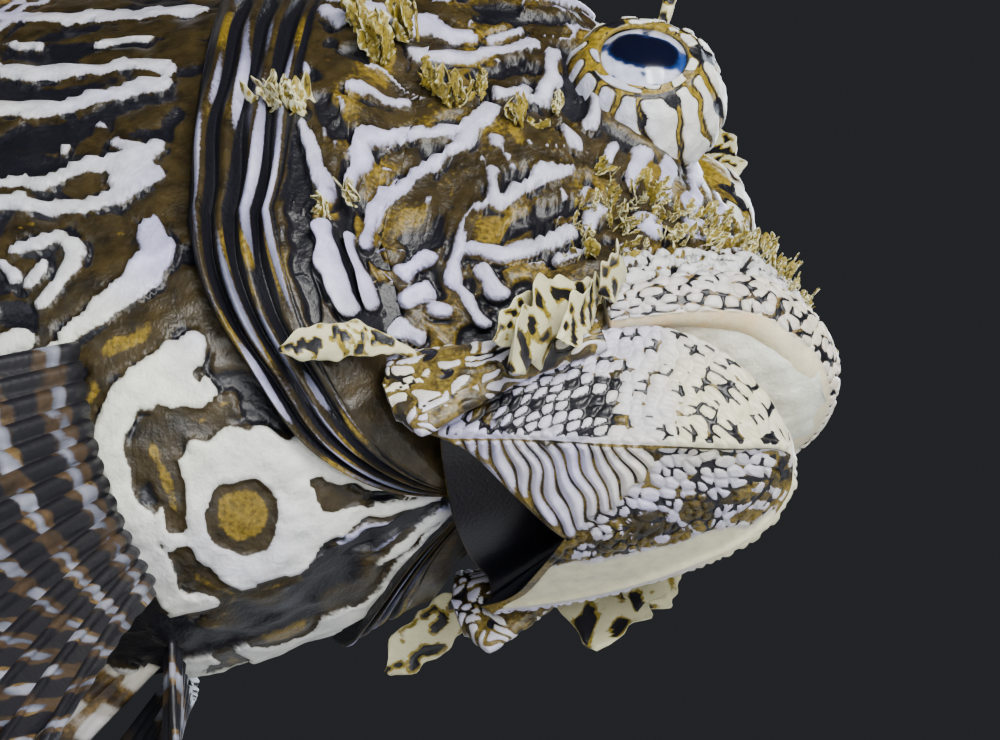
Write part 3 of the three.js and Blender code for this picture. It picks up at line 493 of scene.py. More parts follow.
def skin_paint(base):
    """Paint of the body at points of the bare skin: listed marks round the head and breast, the same on
    both sides, their outlines made uneven by ripples and edged with black. The snout is tiled with pale
    cells, the roof of the mouth is smooth, cream in front and tan behind, the tan partly painted shade deeper
    in the mouth, and the trunk has upright bars that waver, pairs of white lines between dark ones."""
    s, y, z = -base[..., 0], base[..., 1], base[..., 2]
    right = np.stack([base[..., 0], -np.abs(y), z], -1)
    near = s.ravel() < 108
    close = right.reshape(-1, 3)[near]
    uneven = close + 0.38 * np.stack([ripple(close, 2.6, seed) for seed in (10, 11, 12)], -1)
    swell = 0.22 * ripple(close, 1.3, 13)
    depths = []
    for chains in (white_marks, slate_marks, gold_marks, black_marks):
        depth = np.full(s.size, -9.0)
        depth[near] = marks(uneven, on_body(chains)) + swell
        depths.append(depth.reshape(s.shape))
    inside_white, inside_slate, inside_gold, inside_black = depths
    white = np.maximum(ease(-1.1, 0.5, inside_white), ease(-1.1, 0.5, inside_slate))
    white = white * ease(0.1, -0.35, inside_gold)
    face = ease(62, 54, s) * ease(-22, -12, z)
    flank = ease(68, 78, s) * ease(-24, -14, z) * ease(106, 96, s)
    hairs = ease(0.16, 0.04, np.abs(ripple(right * (0.6, 1, 1), 3.4, 14))) * ease(-0.5, -1.6, inside_white)
    gold = np.maximum(ease(0.3, 1.7, inside_gold), face * (0.30 + 0.42 * ripple(right, 5, 15)))
    rimmed = ease(-1.5, -0.7, inside_white) * ease(-0.15, -0.45, inside_white)
    rimmed = rimmed * (0.55 + 0.5 * ripple(right, 2.2, 16))
    black = np.maximum.reduce([
        ease(-1.3, 0.7, inside_black), rimmed,
        0.8 * ease(0.30 - 0.5 * flank, 1.0 - 0.4 * flank, ripple(right * (0.6, 1, 1), 3.0, 17))])
    black = black * ease(0.1, -0.5, inside_white) * ease(0.4, -0.6, inside_gold)
    white = np.maximum(white, 0.62 * hairs * face * ease(25, 32, s))
    waver = s + 4.5 * ripple(right, 20, 3) + 1.2 * ripple(right, 5, 4) + 0.12 * z
    across = np.abs((waver / 10.5) % 1 - 0.5)
    lines = ease(0.115, 0.045, np.abs(across - 0.17) - 0.02 * ripple(right, 4, 5))
    behind = ease(94, 108, s)
    white = np.maximum(white, behind * lines)
    gold = np.maximum(gold, behind * (0.50 + 0.35 * ripple(right, 5, 6)) * ease(0.40, 0.48, across))
    black = black * (1 - behind) + behind * ease(0.24, 0.30, across) * ease(0.44, 0.36, across) * (
        0.9 + 0.4 * ripple(right, 3, 21)) * (1 - lines)
    warm = np.clip(0.12 + 0.40 * flank + 0.25 * ripple(right, 12, 7) + 0.75 * ease(-16, -30, z), 0, 1)
    warm = warm - (warm + 0.75) * ease(-0.6, 0.2, inside_slate) * ease(0.3, -0.3, inside_white)
    # Painted shade: under the breast, left of the keel, the white is taken out and the skin painted black,
    # dark skin in the shade of the belly.
    belly = ease(0.3, 1.2, y) * ease(11, 7, y) * ease(-22, -30, z) * ease(84, 76, s) * ease(44, 50, s)
    white, black = white * (1 - belly), np.maximum(black, belly * (0.7 + 0.4 * ripple(base, 4, 65)))

    over_lip = z + 1.0 + 0.45 * (s - 8)
    tile, _ = cells(s / 1.2 + 0.2 * ripple(right, 2.5, 18), z / 1.15, 7.0)
    snout = np.maximum(ease(10.5, 8.5, over_lip) * ease(28, 23, s), ease(15, 11, s)) * (over_lip > 0)
    tiled = ease(0.03, 0.15, tile + 0.14 * ease(0.0, 0.5, ripple(right, 1.0, 23)))
    white = white + snout * (tiled - white)
    black = black + snout * (0.95 * ease(0.14, 0.06, tile) * ease(-0.2, 0.3, -ripple(right, 1.0, 23)) - black)
    warm = warm + snout * (0.7 - warm)
    # The roof of the mouth is cream in front and turns tan further back into the mouth: partly its own
    # colour, partly painted shade deeper in the mouth.
    roof = ease(0.2, -0.4, over_lip) * ease(37, 33, s)
    white = white + roof * (1 - white)
    gold, black = gold + roof * (0.95 - gold), black * (1 - roof)
    return np.stack([white, gold, black, warm + roof * (1 + 0.8 * ease(11, 22, s) - warm)], -1)


def skin_relief(base, paint):
    """Height of the painted skin in mm: white marks stand proud, dark hollows sink, and the head is a little
    lumpy."""
    head = ease(70, 50, -base[..., 0])
    rise = 0.45 * ease(0.35, 0.65, paint[..., 0]) - (0.5 + 0.4 * head) * ease(0.3, 0.9, paint[..., 2])
    rise = rise + 0.18 * ripple(base, 3.0, 8) + 0.10 * ripple(base, 1.2, 9)
    return rise + 0.45 * head * ripple(base, 6.5, 20)


# Where the skin starts at the snout, where its front and rear pieces meet, and where it ends in the tail
snout_s, seam_s, tail_s = 6.2, 112, 233


def skin_over(s):
    """Rings of skin at the given s, with their paint and normals. Two rings more at each end give the end
    rings the same slopes as the next piece has."""
    around = 340
    lift = np.linspace(0, 360, around, endpoint=False) - 90
    first, last = s[1] - s[0], s[-1] - s[-2]
    wider = np.concatenate([[s[0] - 2 * first, s[0] - first], s, [s[-1] + last, s[-1] + 2 * last]])
    grid_s, grid_lift = np.meshgrid(wider, lift, indexing="ij")
    base = body(grid_s, grid_lift, -1)
    normals = outward(base)
    paint = skin_paint(base)
    rise = skin_relief(base, paint) * ease(snout_s, snout_s + 2.8, grid_s) * ease(tail_s, tail_s - 4, grid_s)
    middle = len(s) // 2, around // 4
    if (normals[middle] * (1, 1, 0)).sum() * base[middle][1] < 0:
        normals = -normals
    skin = base + normals * rise[..., None]
    shading = outward(skin)
    if (shading[middle] * normals[middle]).sum() < 0:
        shading = -shading
    return skin[2:-2], paint[2:-2], shading[2:-2]


head_s = snout_s + (seam_s - snout_s) * np.linspace(0, 1, 285) ** 1.15
trunk_s = np.linspace(seam_s, tail_s, 285)
for word, s, nodes in (("front", head_s, ["head"]), ("rear", trunk_s, ["torso", "tail_stem"])):
    skin, paint, shading = skin_over(s)
    mesh_piece("body_skin_" + word, [(skin, paint)], skin_finish, nodes, shading)


# Eyes: a dark glass ball on each side, with a ring of pale lavender flecks round a navy pupil, set behind a
# round window in a soft bulging lid. The lid is striped with white bars that stand round the window like a
# sunburst.
eye_radius, lid_radius, window_radius = 7.3, 8.3, 5.0


def eye_frame(side):
    """The eye's centre, and three axes: its gaze, and the two across it, the last one upwards."""
    gaze = np.array([0.22, side * 0.97, 0.03])
    gaze /= np.linalg.norm(gaze)
    level = np.cross([0, 0, 1], gaze)
    level /= np.linalg.norm(level)
    return np.array([-31.9, side * 10.0, 26.3]), gaze, level, np.cross(gaze, level)


def on_ball(side, polar, azimuth, radius):
    """Points of a ball: polar degrees away from the gaze, azimuth degrees round it from level towards up."""
    centre, gaze, level, up = eye_frame(side)
    p, a = np.radians(polar), np.radians(azimuth)
    round_gaze = np.cos(a)[..., None] * level + np.sin(a)[..., None] * up
    way = np.cos(p)[..., None] * gaze + np.sin(p)[..., None] * round_gaze
    return centre + way * np.asarray(radius)[..., None]


eye_finish, tree, shader = new_finish("eye_glass")
paint = node(tree, "Attribute", {"attribute_name": "paint"})
tree.links.new(paint.outputs["Color"], shader.inputs["Base Color"])
settle(shader, Roughness=0.15, Coat_Weight=0.7, Coat_Roughness=0.03)

lid_finish = painted_skin(
    "eyelid_skin", (0.07, 0.045, 0.012), (0.36, 0.25, 0.02), (0.70, 0.72, 0.95), (0.95, 0.95, 0.88),
    edge=0.07, fray=0.22)

# Bars of the lid: [azimuth of the middle, half width, polar where it starts, polar where it ends], in degrees
lid_bars = [
    [-158, 6, 48, 100], [-136, 9, 46, 110], [-113, 10, 45, 118], [-88, 11, 46, 122], [-64, 12, 47, 124],
    [-38, 10, 45, 118], [-14, 8, 46, 116], [10, 7, 47, 112], [36, 8, 46, 108], [62, 8, 46, 104],
    [90, 8, 47, 104], [118, 9, 46, 100], [146, 7, 47, 100], [172, 6, 48, 98],
]

# Gaps in the iris ring, as [azimuth, half width], in degrees
iris_gaps = [[100, 8], [6, 20], [-52, 8], [178, 9]]

for word, side in (("left", 1), ("right", -1)):
    rings, sectors = 1 + 178 * np.linspace(0, 1, 100) ** 1.7, np.linspace(0, 360, 150, endpoint=False)
    polar, azimuth = np.meshgrid(rings, sectors, indexing="ij")
    ball = on_ball(side, polar, azimuth, np.full(polar.shape, eye_radius))
    flecks = ripple(ball, 1.1, 21) + 0.5 * ripple(ball, 0.5, 22)
    turned = azimuth if side < 0 else (180 - azimuth) % 360
    a = np.radians(turned)
    pupil_edge = 25 + 6.5 * np.cos(2 * a) + 1.5 * np.sin(3 * a) + 1.2 * flecks
    broken = np.ones(polar.shape)
    for middle, half in iris_gaps:
        broken = np.minimum(broken, ease(half - 4, half + 5, np.abs((turned - middle + 180) % 360 - 180)))
    ring = ease(0, 2.5, polar - pupil_edge) * ease(47, 43, polar + 2 * flecks)
    fleck = ring * broken * ease(-1.5, -0.9, flecks)
    cloud = 0.35 + 0.65 * ease(-1, 1, ripple(ball, 2.0, 27))
    blue = ease(-4, 2, polar - pupil_edge) * ease(52, 46, polar) * cloud
    navy, sea = np.array([0.003, 0.004, 0.016]), np.array([0.015, 0.06, 0.26])
    lavender = np.array([0.72, 0.76, 0.98])
    iris = navy + blue[..., None] * (sea - navy)
    iris = iris + fleck[..., None] * (lavender * (0.85 + 0.15 * np.clip(flecks, -1, 1))[..., None] - iris)
    iris = np.concatenate([iris, np.ones(polar.shape + (1,))], -1)
    mesh_piece("eye_ball_" + word, [(ball, iris)], eye_finish, ["eye_" + word])

    # The lid is a shell: its outer face runs from the window's rim back under the skin, and its inner face
    # returns.
    rim = np.degrees(np.arcsin(window_radius / lid_radius))
    track = np.concatenate([np.linspace(0, 1, 116), np.linspace(1, 0, 14), [0]])
    outer = np.concatenate([np.ones(116), np.zeros(14), [1]])[:, None]
    rings, sectors = rim + (150 - rim) * track, np.linspace(0, 360, 230, endpoint=False)
    polar, azimuth = np.meshgrid(rings, sectors, indexing="ij")
    turned = azimuth if side < 0 else (180 - azimuth) % 360
    roll = np.exp(-((polar - rim) / 5) ** 2)
    behind_eye = ease(-0.2, 0.8, np.cos(np.radians(turned)))
    flare = 1.9 * ease(72, 106, polar) * ease(136, 114, polar) * (1 - 0.8 * behind_eye)
    radius = np.where(outer > 0, lid_radius + 0.15 - 0.5 * roll + flare, eye_radius + 0.12)
    radius = radius * (1 + 0.02 * np.sin(3 * np.radians(turned)))
    lid = on_ball(side, polar, azimuth, radius)
    white = np.zeros(polar.shape)
    waver = 5 * ripple(lid, 4, 23) + 2.5 * ripple(lid, 1.6, 24) - 0.10 * (polar - rim)
    for middle, half, begins, ends in lid_bars:
        off = np.abs((turned + waver - middle + 180) % 360 - 180)
        bar = np.clip(0.5 + (half * (0.72 + 0.004 * (polar - rim)) - off) / 7, 0, 1)
        white = np.maximum(white, bar * ease(begins - 3, begins + 3, polar) * ease(ends + 6, ends - 6, polar))
    lip_ring = ease(6.5, 4.5, polar - rim) * ease(0.15, 0.5, ripple(lid, 1.8, 28) + 0.25) * outer
    white = np.maximum(white, 0.9 * lip_ring)
    gold = 0.78 + 0.35 * ripple(lid, 2.5, 25)
    edging = ease(0.02, 0.3, white) * ease(0.62, 0.35, white)
    black = np.maximum.reduce([
        0.9 * ease(0.4, 0.8, 1 - np.abs(polar - rim - 7.5) / 3) * ease(-0.4, 0.3, ripple(lid, 2.6, 29)),
        0.8 * ease(0.2, 0.9, ripple(lid, 3.0, 26)), 0.75 * edging])
    warm = 0.15 + 0.85 * ease(-105, -35, (turned + 180) % 360 - 180)
    paint = np.stack([white, gold, black * (white < 0.6), warm], -1)
    raised = 0.28 * ease(0.3, 0.7, white) + 0.10 * ripple(lid, 1.2, 30)
    lid = on_ball(side, polar, azimuth, radius + outer * raised)
    mesh_piece("eyelid_" + word, [(lid, paint)], lid_finish, ["head"])


# Upper lip: a thick soft roll round the front of the mouth. Its outer face is tiled with rows of pale cells,
# dark in the gaps that stay open, and its inner face is smooth, cream in front and tan at the back, towards
# the corners of the mouth, where the tan is partly the lip's own colour and partly painted shade.
def bend(knots, t):
    """A Catmull-Rom curve through knots, centripetal, read at t from 0 to 1, as whole arrays."""
    knots = np.asarray(knots, float)
    ghost = np.concatenate([[2 * knots[0] - knots[1]], knots, [2 * knots[-1] - knots[-2]]])
    place = np.clip(np.asarray(t, float), 0, 1) * (len(knots) - 1)
    i = np.minimum(place.astype(int), len(knots) - 2)
    w = (place - i)[..., None]
    p0, p1, p2, p3 = ghost[i], ghost[i + 1], ghost[i + 2], ghost[i + 3]
    spans = ((p0, p1), (p1, p2), (p2, p3))
    d01, d12, d23 = (np.linalg.norm(b - a, axis=-1, keepdims=True) ** 0.5 + 1e-9 for a, b in spans)
    m1 = (p1 - p0) / d01 - (p2 - p0) / (d01 + d12) + (p2 - p1) / d12
    m2 = (p2 - p1) / d12 - (p3 - p1) / (d12 + d23) + (p3 - p2) / d23
    m1, m2 = m1 * d12, m2 * d12
    return ((2 * w**3 - 3 * w**2 + 1) * p1 + (w**3 - 2 * w**2 + w) * m1
            + (3 * w**2 - 2 * w**3) * p2 + (w**3 - w**2) * m2)


def swept(line, t, angle, wide, tall, lean=(0, 0, 1)):
    """A tube: a section of half sizes wide and tall carried along the line, turned so that tall keeps near to
    lean."""
    centre = bend(line, t)
    along = np.gradient(centre, axis=0)
    along /= np.linalg.norm(along, axis=1, keepdims=True)
    across = np.cross(along, lean)
    across /= np.linalg.norm(across, axis=1, keepdims=True)
    up = np.cross(across, along)
    c, v = np.cos(angle), np.sin(angle)
    return centre[:, None] + across[:, None] * (c * wide)[..., None] + up[:, None] * (v * tall)[..., None]


lip_line = np.array([
    [-25, 14.2, -8.6], [-18.4, 12.4, -4.6], [-12.8, 9.2, -1.8], [-9.4, 5.1, -1.3], [-8.1, 0, -1.2],
    [-9.4, -5.1, -1.3], [-12.8, -9.2, -1.8], [-18.4, -12.4, -4.6], [-25, -14.2, -8.6],
])
lip_finish = painted_skin(
    "lip_skin", (0.05, 0.032, 0.010), (0.40, 0.28, 0.11), (0.74, 0.73, 0.84), (0.93, 0.84, 0.58),
    rough=0.36, grain=0.35, relief=0.12, edge=0.08, fray=0.16)

t = np.linspace(0, 1, 420)
angle = np.linspace(0, 2 * np.pi, 220, endpoint=False)
grid_t, grid_angle = np.meshgrid(t, angle, indexing="ij")
full = np.sin(np.pi * np.clip(grid_t, 0.004, 0.996)) ** 0.6
wide, tall = 1.4 + 1.2 * full, 1.8 + 1.8 * full
lip = swept(lip_line, t, grid_angle, wide, tall)
# Round the section: 0 is the mouth's side, 90 the top, 180 the outer face, 270 the underside. The smooth face
# starts low at the corners of the mouth and higher at the front.
girth = np.degrees(grid_angle)
front = np.sin(np.pi * grid_t)
begins = 243 - 38 * front**1.5 + 3 * ripple(lip, 3, 34)
smooth = np.maximum(ease(begins - 5, begins + 5, girth), ease(60, 45, girth))
tile, _ = cells(62 * grid_t / 1.9 + 0.25 * ripple(lip, 3, 31), girth / 24, 5.0, 0.75)
shut = ripple(lip, 0.9, 32)
white = np.maximum(ease(0.02, 0.13, tile + 0.14 * ease(0.0, 0.5, shut)), smooth)
black = 0.95 * ease(0.14, 0.06, tile) * ease(-0.1, 0.3, -shut) * (1 - smooth)
warm = np.clip(0.15 + 0.45 * front + 0.3 * ripple(lip, 5, 33), 0, 1)
# The smooth inner face turns tan towards the corners of the mouth: partly its own colour, partly painted
# shade.
paint = np.stack([white, 0.45 + 0.5 * smooth + 0.3 * ripple(lip, 2, 35), black,
                  np.maximum(warm, smooth * (1 + 0.9 * ease(0.95, 0.6, front)))], -1)
rise = 0.34 * ease(0.0, 0.26, tile) ** 0.7 * (1 - smooth)
lip = swept(lip_line, t, grid_angle, wide + rise, tall + rise)
mesh_piece("upper_lip", [(lip, paint)], lip_finish, ["head"])


# Jaw plates: the flat paddle behind each corner of the mouth. White worm-like strokes run over an olive
# ground.
worm_finish = painted_skin(
    "jaw_plate_skin", (0.05, 0.034, 0.010), (0.24, 0.17, 0.03), (0.67, 0.65, 0.92), (0.88, 0.86, 0.66),
    grain=0.4, relief=0.14, edge=0.08, fray=0.2)
for word, side in (("left", 1), ("right", -1)):
    t = np.linspace(0, 1, 160)
    angle = np.linspace(0, 2 * np.pi, 116, endpoint=False)
    grid_t, grid_angle = np.meshgrid(t, angle, indexing="ij")
    line = np.array([[-25, 14.4, -11.4], [-33, 15.7, -17.9], [-39.5, 16.2, -22.5], [-42.5, 16.2, -24.5]])
    line = line * (1, side, 1)
    wide = 1.25 + 0.25 * grid_t
    tall = (2.4 + 3.4 * ease(0.15, 0.8, grid_t)) * np.sqrt(1 - 0.86 * ease(0.82, 1, grid_t))
    plate = swept(line, t, grid_angle, wide, tall)
    bent = 0.75 * ripple(plate, 2.2, 41)
    tile, own = cells(22 * grid_t / 2.7 + bent,
                      np.sin(grid_angle) * tall / 1.45 + 0.6 * ripple(plate, 2.6, 45), 2.0, 0.95)
    white = ease(0.05, 0.17, tile) * np.where(own > 0.10, 1, 0.3)
    black = 0.9 * ease(-0.1, 0.6, ripple(plate, 1.6, 42)) * ease(0.12, 0.05, tile)
    warm = np.clip(0.35 + 0.4 * ripple(plate, 4, 43), 0, 1)
    paint = np.stack([white, 0.6 + 0.3 * ripple(plate, 2, 44), black, warm], -1)
    rise = 0.26 * ease(0.0, 0.24, tile) ** 0.7
    plate = swept(line, t, grid_angle, wide + rise, tall + 0.6 * rise)
    mesh_piece("jaw_plate_" + word, [(plate, paint)], worm_finish, ["head"])


# Lower jaw: a scoop with a beaded lip. Between the lip and the fold under it lie rows of round pale beads,
# under the fold the skin is pleated, and the chin is covered in cells. Its hind edge is a notch that lets the
# throat in, and a lining from the notch into the throat is painted black as the throat's painted shade.
jaw_stations = np.array([
    [6.9, 1.6, -12.0, 1.5, -13.6, -14.0],
    [8, 4.4, -11.2, 4.0, -15.2, -16.0],
    [10, 7.2, -10.0, 6.0, -17.2, -18.0],
    [13, 9.9, -9.0, 7.6, -18.9, -20.0],
    [17, 11.9, -8.4, 9.0, -20.4, -22.2],
    [22, 13.2, -9.0, 10.4, -22.0, -24.6],
    [28, 14.2, -12.6, 11.8, -23.4, -26.6],
    [34, 14.6, -17.6, 12.7, -24.6, -28.0],
    [39, 14.0, -22.0, 13.0, -25.4, -28.4],
])
half_around = 190


def jaw_section(s):
    """Knots of the right half section at s, from the floor of the mouth over the lip, down to the fold and
    the keel."""
    lip_y, lip_z, fold_y, fold_z, keel = (through(jaw_stations, s, k) for k in (1, 2, 3, 4, 5))
    zero = np.zeros_like(s)
    knots = [
        (zero, lip_z - 0.24 * lip_y), (0.5 * lip_y, lip_z - 0.16 * lip_y), (0.86 * lip_y, lip_z - 0.2),
        (lip_y, lip_z - 0.5), (0.55 * lip_y + 0.5 * fold_y, 0.62 * lip_z + 0.38 * fold_z),
        (0.25 * lip_y + 0.78 * fold_y, 0.25 * lip_z + 0.75 * fold_z), (fold_y, fold_z),
        (0.84 * fold_y, 0.8 * fold_z + 0.2 * keel), (0.45 * fold_y, 0.35 * fold_z + 0.65 * keel),
        (zero, keel),
    ]
    return np.array([[y, z] for y, z in knots])


lip_knot, fold_knot = 3, 6
rows = np.linspace(0, 1, 250)
v = np.linspace(0, 9, half_around)
# The hind edge: behind the plate at the sides, and drawn forward to a notch at the throat.
reach_back = np.where(v < fold_knot, 39.0, 27 + 12 * np.clip(1 - (v - fold_knot) / 3, 0, 1))
grid_t, grid_v = np.meshgrid(rows, v, indexing="ij")
grid_s = 6.9 + (reach_back[None, :] - 6.9) * grid_t ** 1.25
flat_s = grid_s.ravel()
knots = jaw_section(flat_s)
k = np.clip(grid_v.ravel().astype(int), 0, 8)
w = grid_v.ravel() - k
pick = np.arange(flat_s.size)


def knot_at(step):
    """The knot that lies a step away from each point's own, with the section mirrored past its ends."""
    at_knot = k + step
    mirrored = np.where((at_knot < 0) | (at_knot > 9), -1.0, 1.0)
    at_knot = np.where(at_knot < 0, -at_knot, np.where(at_knot > 9, 18 - at_knot, at_knot))
    return np.stack([knots[at_knot, 0, pick] * mirrored, knots[at_knot, 1, pick]], -1)


before, own_knot, next_knot, after = (knot_at(step) for step in (-1, 0, 1, 2))
w = w[:, None]
profile = 0.5 * (2 * own_knot + (next_knot - before) * w
                 + (2 * before - 5 * own_knot + 4 * next_knot - after) * w**2
                 + (3 * own_knot - before - 3 * next_knot + after) * w**3)
profile = profile.reshape(grid_s.shape + (2,))
right_jaw = np.stack([-grid_s, -profile[..., 0], profile[..., 1]], -1)

# Distances along the skin, from the lip downwards and from the fold downwards
step_down = np.linalg.norm(np.diff(profile, axis=1), axis=-1)
down = np.concatenate([np.zeros((len(rows), 1)), np.cumsum(step_down, 1)], 1)
lip_column, fold_column = int(half_around * lip_knot / 9), int(half_around * fold_knot / 9)
below_lip = down - down[:, lip_column:lip_column + 1]
below_fold = down - down[:, fold_column:fold_column + 1]
upper_span = down[:, fold_column:fold_column + 1] - down[:, lip_column:lip_column + 1]
share = below_lip / np.maximum(upper_span, 0.5)
over_keel = down[:, -1:] - down


def jaw_paint_and_rise(far_side):
    """Paint and relief of one half of the jaw. Beads in rows parallel to the lip, long at the front and round
    behind, lie on gold or, in one dark patch, on black. The fold under them is a pale ridge; pleats hang from
    it, then cells, then an olive band along the keel. The far half is smooth and pale yellow below its
    fold."""
    stretch = np.interp(grid_s, [6, 13, 19, 40], [0, 3.2, 6.8, 23.5])
    patch = ease(19, 23, grid_s) * ease(36, 32, grid_s) * ease(0.35, 0.55, share) * ease(1.1, 0.9, share)
    patch = np.clip(patch + 0.5 * ripple(right_jaw, 4, 58) * patch, 0, 1)
    tile, own = cells(stretch + 0.3 * ripple(right_jaw, 2.5, 51),
                      below_lip / 1.25 + 0.15 * ripple(right_jaw, 5, 59), 9.0, 0.5)
    zone = ease(-0.8, 0.2, below_lip) * ease(0.4, -0.3, below_fold)
    shut = ripple(right_jaw * (0.7, 1, 1), 0.95, 46)
    bead = ease(0.02, 0.12 + 0.06 * patch, tile + 0.14 * ease(-0.3, 0.3, shut) * (1 - 0.7 * patch))
    bead = bead * np.where(own > 0.36 * patch, 1, 0.2)
    ridge = np.exp(-(below_fold / 0.6) ** 2)
    hang = np.interp(grid_s, [16, 19, 22, 26, 39], [1.5, 5.5, 8.5, 12.5, 12.5])
    hang = hang + 0.6 * ripple(right_jaw, 1.2, 60)
    pleated = ease(0.2, 0.8, below_fold) * ease(hang + 0.7, hang - 0.7, below_fold)
    pleated = pleated * ease(16.0, 19.5, grid_s) * (1 - far_side)
    phase = (grid_s + 0.16 * below_fold) / 1.32 + 0.34 * ripple(right_jaw, 3.2, 52)
    pleat = 1 - np.abs(2 * (phase % 1) - 1) ** 1.6
    net, _ = cells(grid_s / 1.25 + 0.3 * ripple(right_jaw, 2, 54), below_fold / 1.7, 4.0, 0.9)
    below = ease(0.2, 0.9, below_fold) * (1 - pleated)
    keel = ease(2.6 + 2.6 * far_side, 1.0 + 2.6 * far_side, over_keel + 0.6 * ripple(right_jaw, 2.4, 53))
    plain = far_side * ease(0.1, 0.6, below_fold) * (1 - keel)
    cell = ease(0.03, 0.13, net + 0.13 * ease(-0.3, 0.3, shut))
    hind_edge = ease(0.985, 0.95, grid_t)
    white = np.maximum.reduce([
        bead * zone, 0.95 * ease(0.5, 0.9, ridge), 0.95 * plain, ease(0.3, -0.6, below_lip) * 0.95,
        ease(0.08, 0.42, pleat) * pleated * (0.9 + 0.3 * ripple(right_jaw, 1.8, 50)),
        cell * below * (1 - 0.62 * keel * (ripple(right_jaw, 1.6, 49) > -0.2))])
    black = np.maximum.reduce([
        zone * ease(0.15, 0.06, tile) * np.maximum(patch, ease(-0.1, 0.3, -shut)),
        zone * patch * (own < 0.47) * 0.9,
        0.95 * pleated * ease(0.30, 0.08, pleat) * ease(-0.3, 0.5, ripple(right_jaw, 1.6, 48)),
        (1 - plain) * below * ease(0.14, 0.06, net) * ease(-0.1, 0.3, -shut)])
    warm = 0.10 + 0.9 * ease(27, 11, grid_s) * (1 - 0.8 * below) + 0.25 * ripple(right_jaw, 5, 57)
    warm = np.clip(np.maximum(warm, plain), 0, 1)
    white = white * np.maximum(hind_edge, 0.5 * pleated)
    gold = 0.62 + 0.35 * ripple(right_jaw, 2.5, 56) - 0.35 * patch
    rise = 0.36 * ease(0.0, 0.30, tile) ** 0.6 * zone + 0.55 * ridge + 0.75 * pleat * pleated
    rise += 0.26 * ease(0.0, 0.22, net) * below * (1 - plain)
    return np.stack([white, gold, black, warm], -1), rise


right_paint, right_rise = jaw_paint_and_rise(0)
left_paint, left_rise = jaw_paint_and_rise(1)
around_jaw = np.concatenate([right_jaw, (right_jaw * (1, -1, 1))[:, -2:0:-1]], 1)
jaw_paint = np.concatenate([right_paint, left_paint[:, -2:0:-1]], 1)
rise = np.concatenate([right_rise, left_rise[:, -2:0:-1]], 1)
normals = outward(around_jaw)
if normals[100, lip_column, 1] > 0:
    normals = -normals
both_t = np.concatenate([grid_t, grid_t[:, -2:0:-1]], 1)
fade = ease(0, 0.04, both_t) * ease(1, 0.97, both_t)
around_jaw = around_jaw + normals * (rise * fade)[..., None]
jaw_finish = painted_skin(
    "lower_jaw_skin", (0.04, 0.028, 0.008), (0.24, 0.17, 0.03), (0.68, 0.66, 0.92), (0.92, 0.88, 0.60),
    rough=0.36, grain=0.35, relief=0.12, edge=0.08, fray=0.16)
throat = np.array([-23.0, 0, -19.0])
inward = np.linspace(0, 1, 9)[1:, None, None] ** 2
lining = around_jaw[-1] * (1 - inward) + (throat + (around_jaw[-1] - throat) * (0.4, 0.5, 0.3)) * inward
around_jaw = np.concatenate([around_jaw, lining])
# The throat lining is painted black: painted shade inside the throat.
jaw_paint = np.concatenate([jaw_paint, np.broadcast_to([0, 0.2, 0.9, 0.3], lining.shape[:2] + (4,))])
mesh_piece("lower_jaw_skin", [(around_jaw, jaw_paint)], jaw_finish, ["lower_jaw"])


# Gill covers: a bony plate over each cheek, and behind it a soft skin that falls in deep folds, runs down and
# forward, and meets the throat. The folds are dark skin, painted darker in their valleys as painted shade,
# with white, olive and lavender lines along their crests.
cover_front = np.array([[-84, 37.5], [-62, 40], [-40, 43], [-15, 46], [8, 49], [30, 52], [54, 55]])
cover_back = np.array([
    [-84, 39.5], [-70, 45], [-55, 50.5], [-33, 57], [-17, 62], [1, 66.5], [11, 69.5], [31, 75], [54, 81],
])
fold_count, cover_low, cover_high = 4, -84, 54


def cover_sheet(lift, t):
    """The outer face of a gill cover: t runs from its front edge to its hind edge along the skin, and its
    height over the body swells over the plate and waves over the folds."""
    front, back = through(cover_front, lift, 1), through(cover_back, lift, 1)
    s = front + (back - front) * t
    ends = np.sqrt(np.clip(np.sin(np.pi * (lift + 84 + 5) / 150), 0.02, 1))
    wander = 0.7 * np.sin(lift / 15) + 0.5 * np.sin(lift / 6.1 + 2) + 0.3 * np.sin(lift / 3.3 + 1)
    crest = np.sin(2 * np.pi * fold_count * (t - 0.5) * 2 - np.pi / 2 + wander * ease(0.5, 0.6, t))
    folds = 0.75 * (np.abs(0.5 + 0.5 * crest) ** 0.7 * 2 - 1) * ease(0.5, 0.62, t)
    plate = 0.5 + 1.6 * ease(0, 0.3, t) - 1.0 * ease(0.5, 0.62, t)
    rounded = np.sqrt(np.clip(1 - ((np.abs(t - 0.5) - 0.44) / 0.06).clip(0, 1) ** 2, 0, 1))
    rounded = np.where(t < 0.5, ease(0, 0.3, t), rounded) * ease(54, 44, lift)
    grow = 0.15 + 0.95 * rounded + (plate + folds) * ends * rounded
    return s, grow, crest


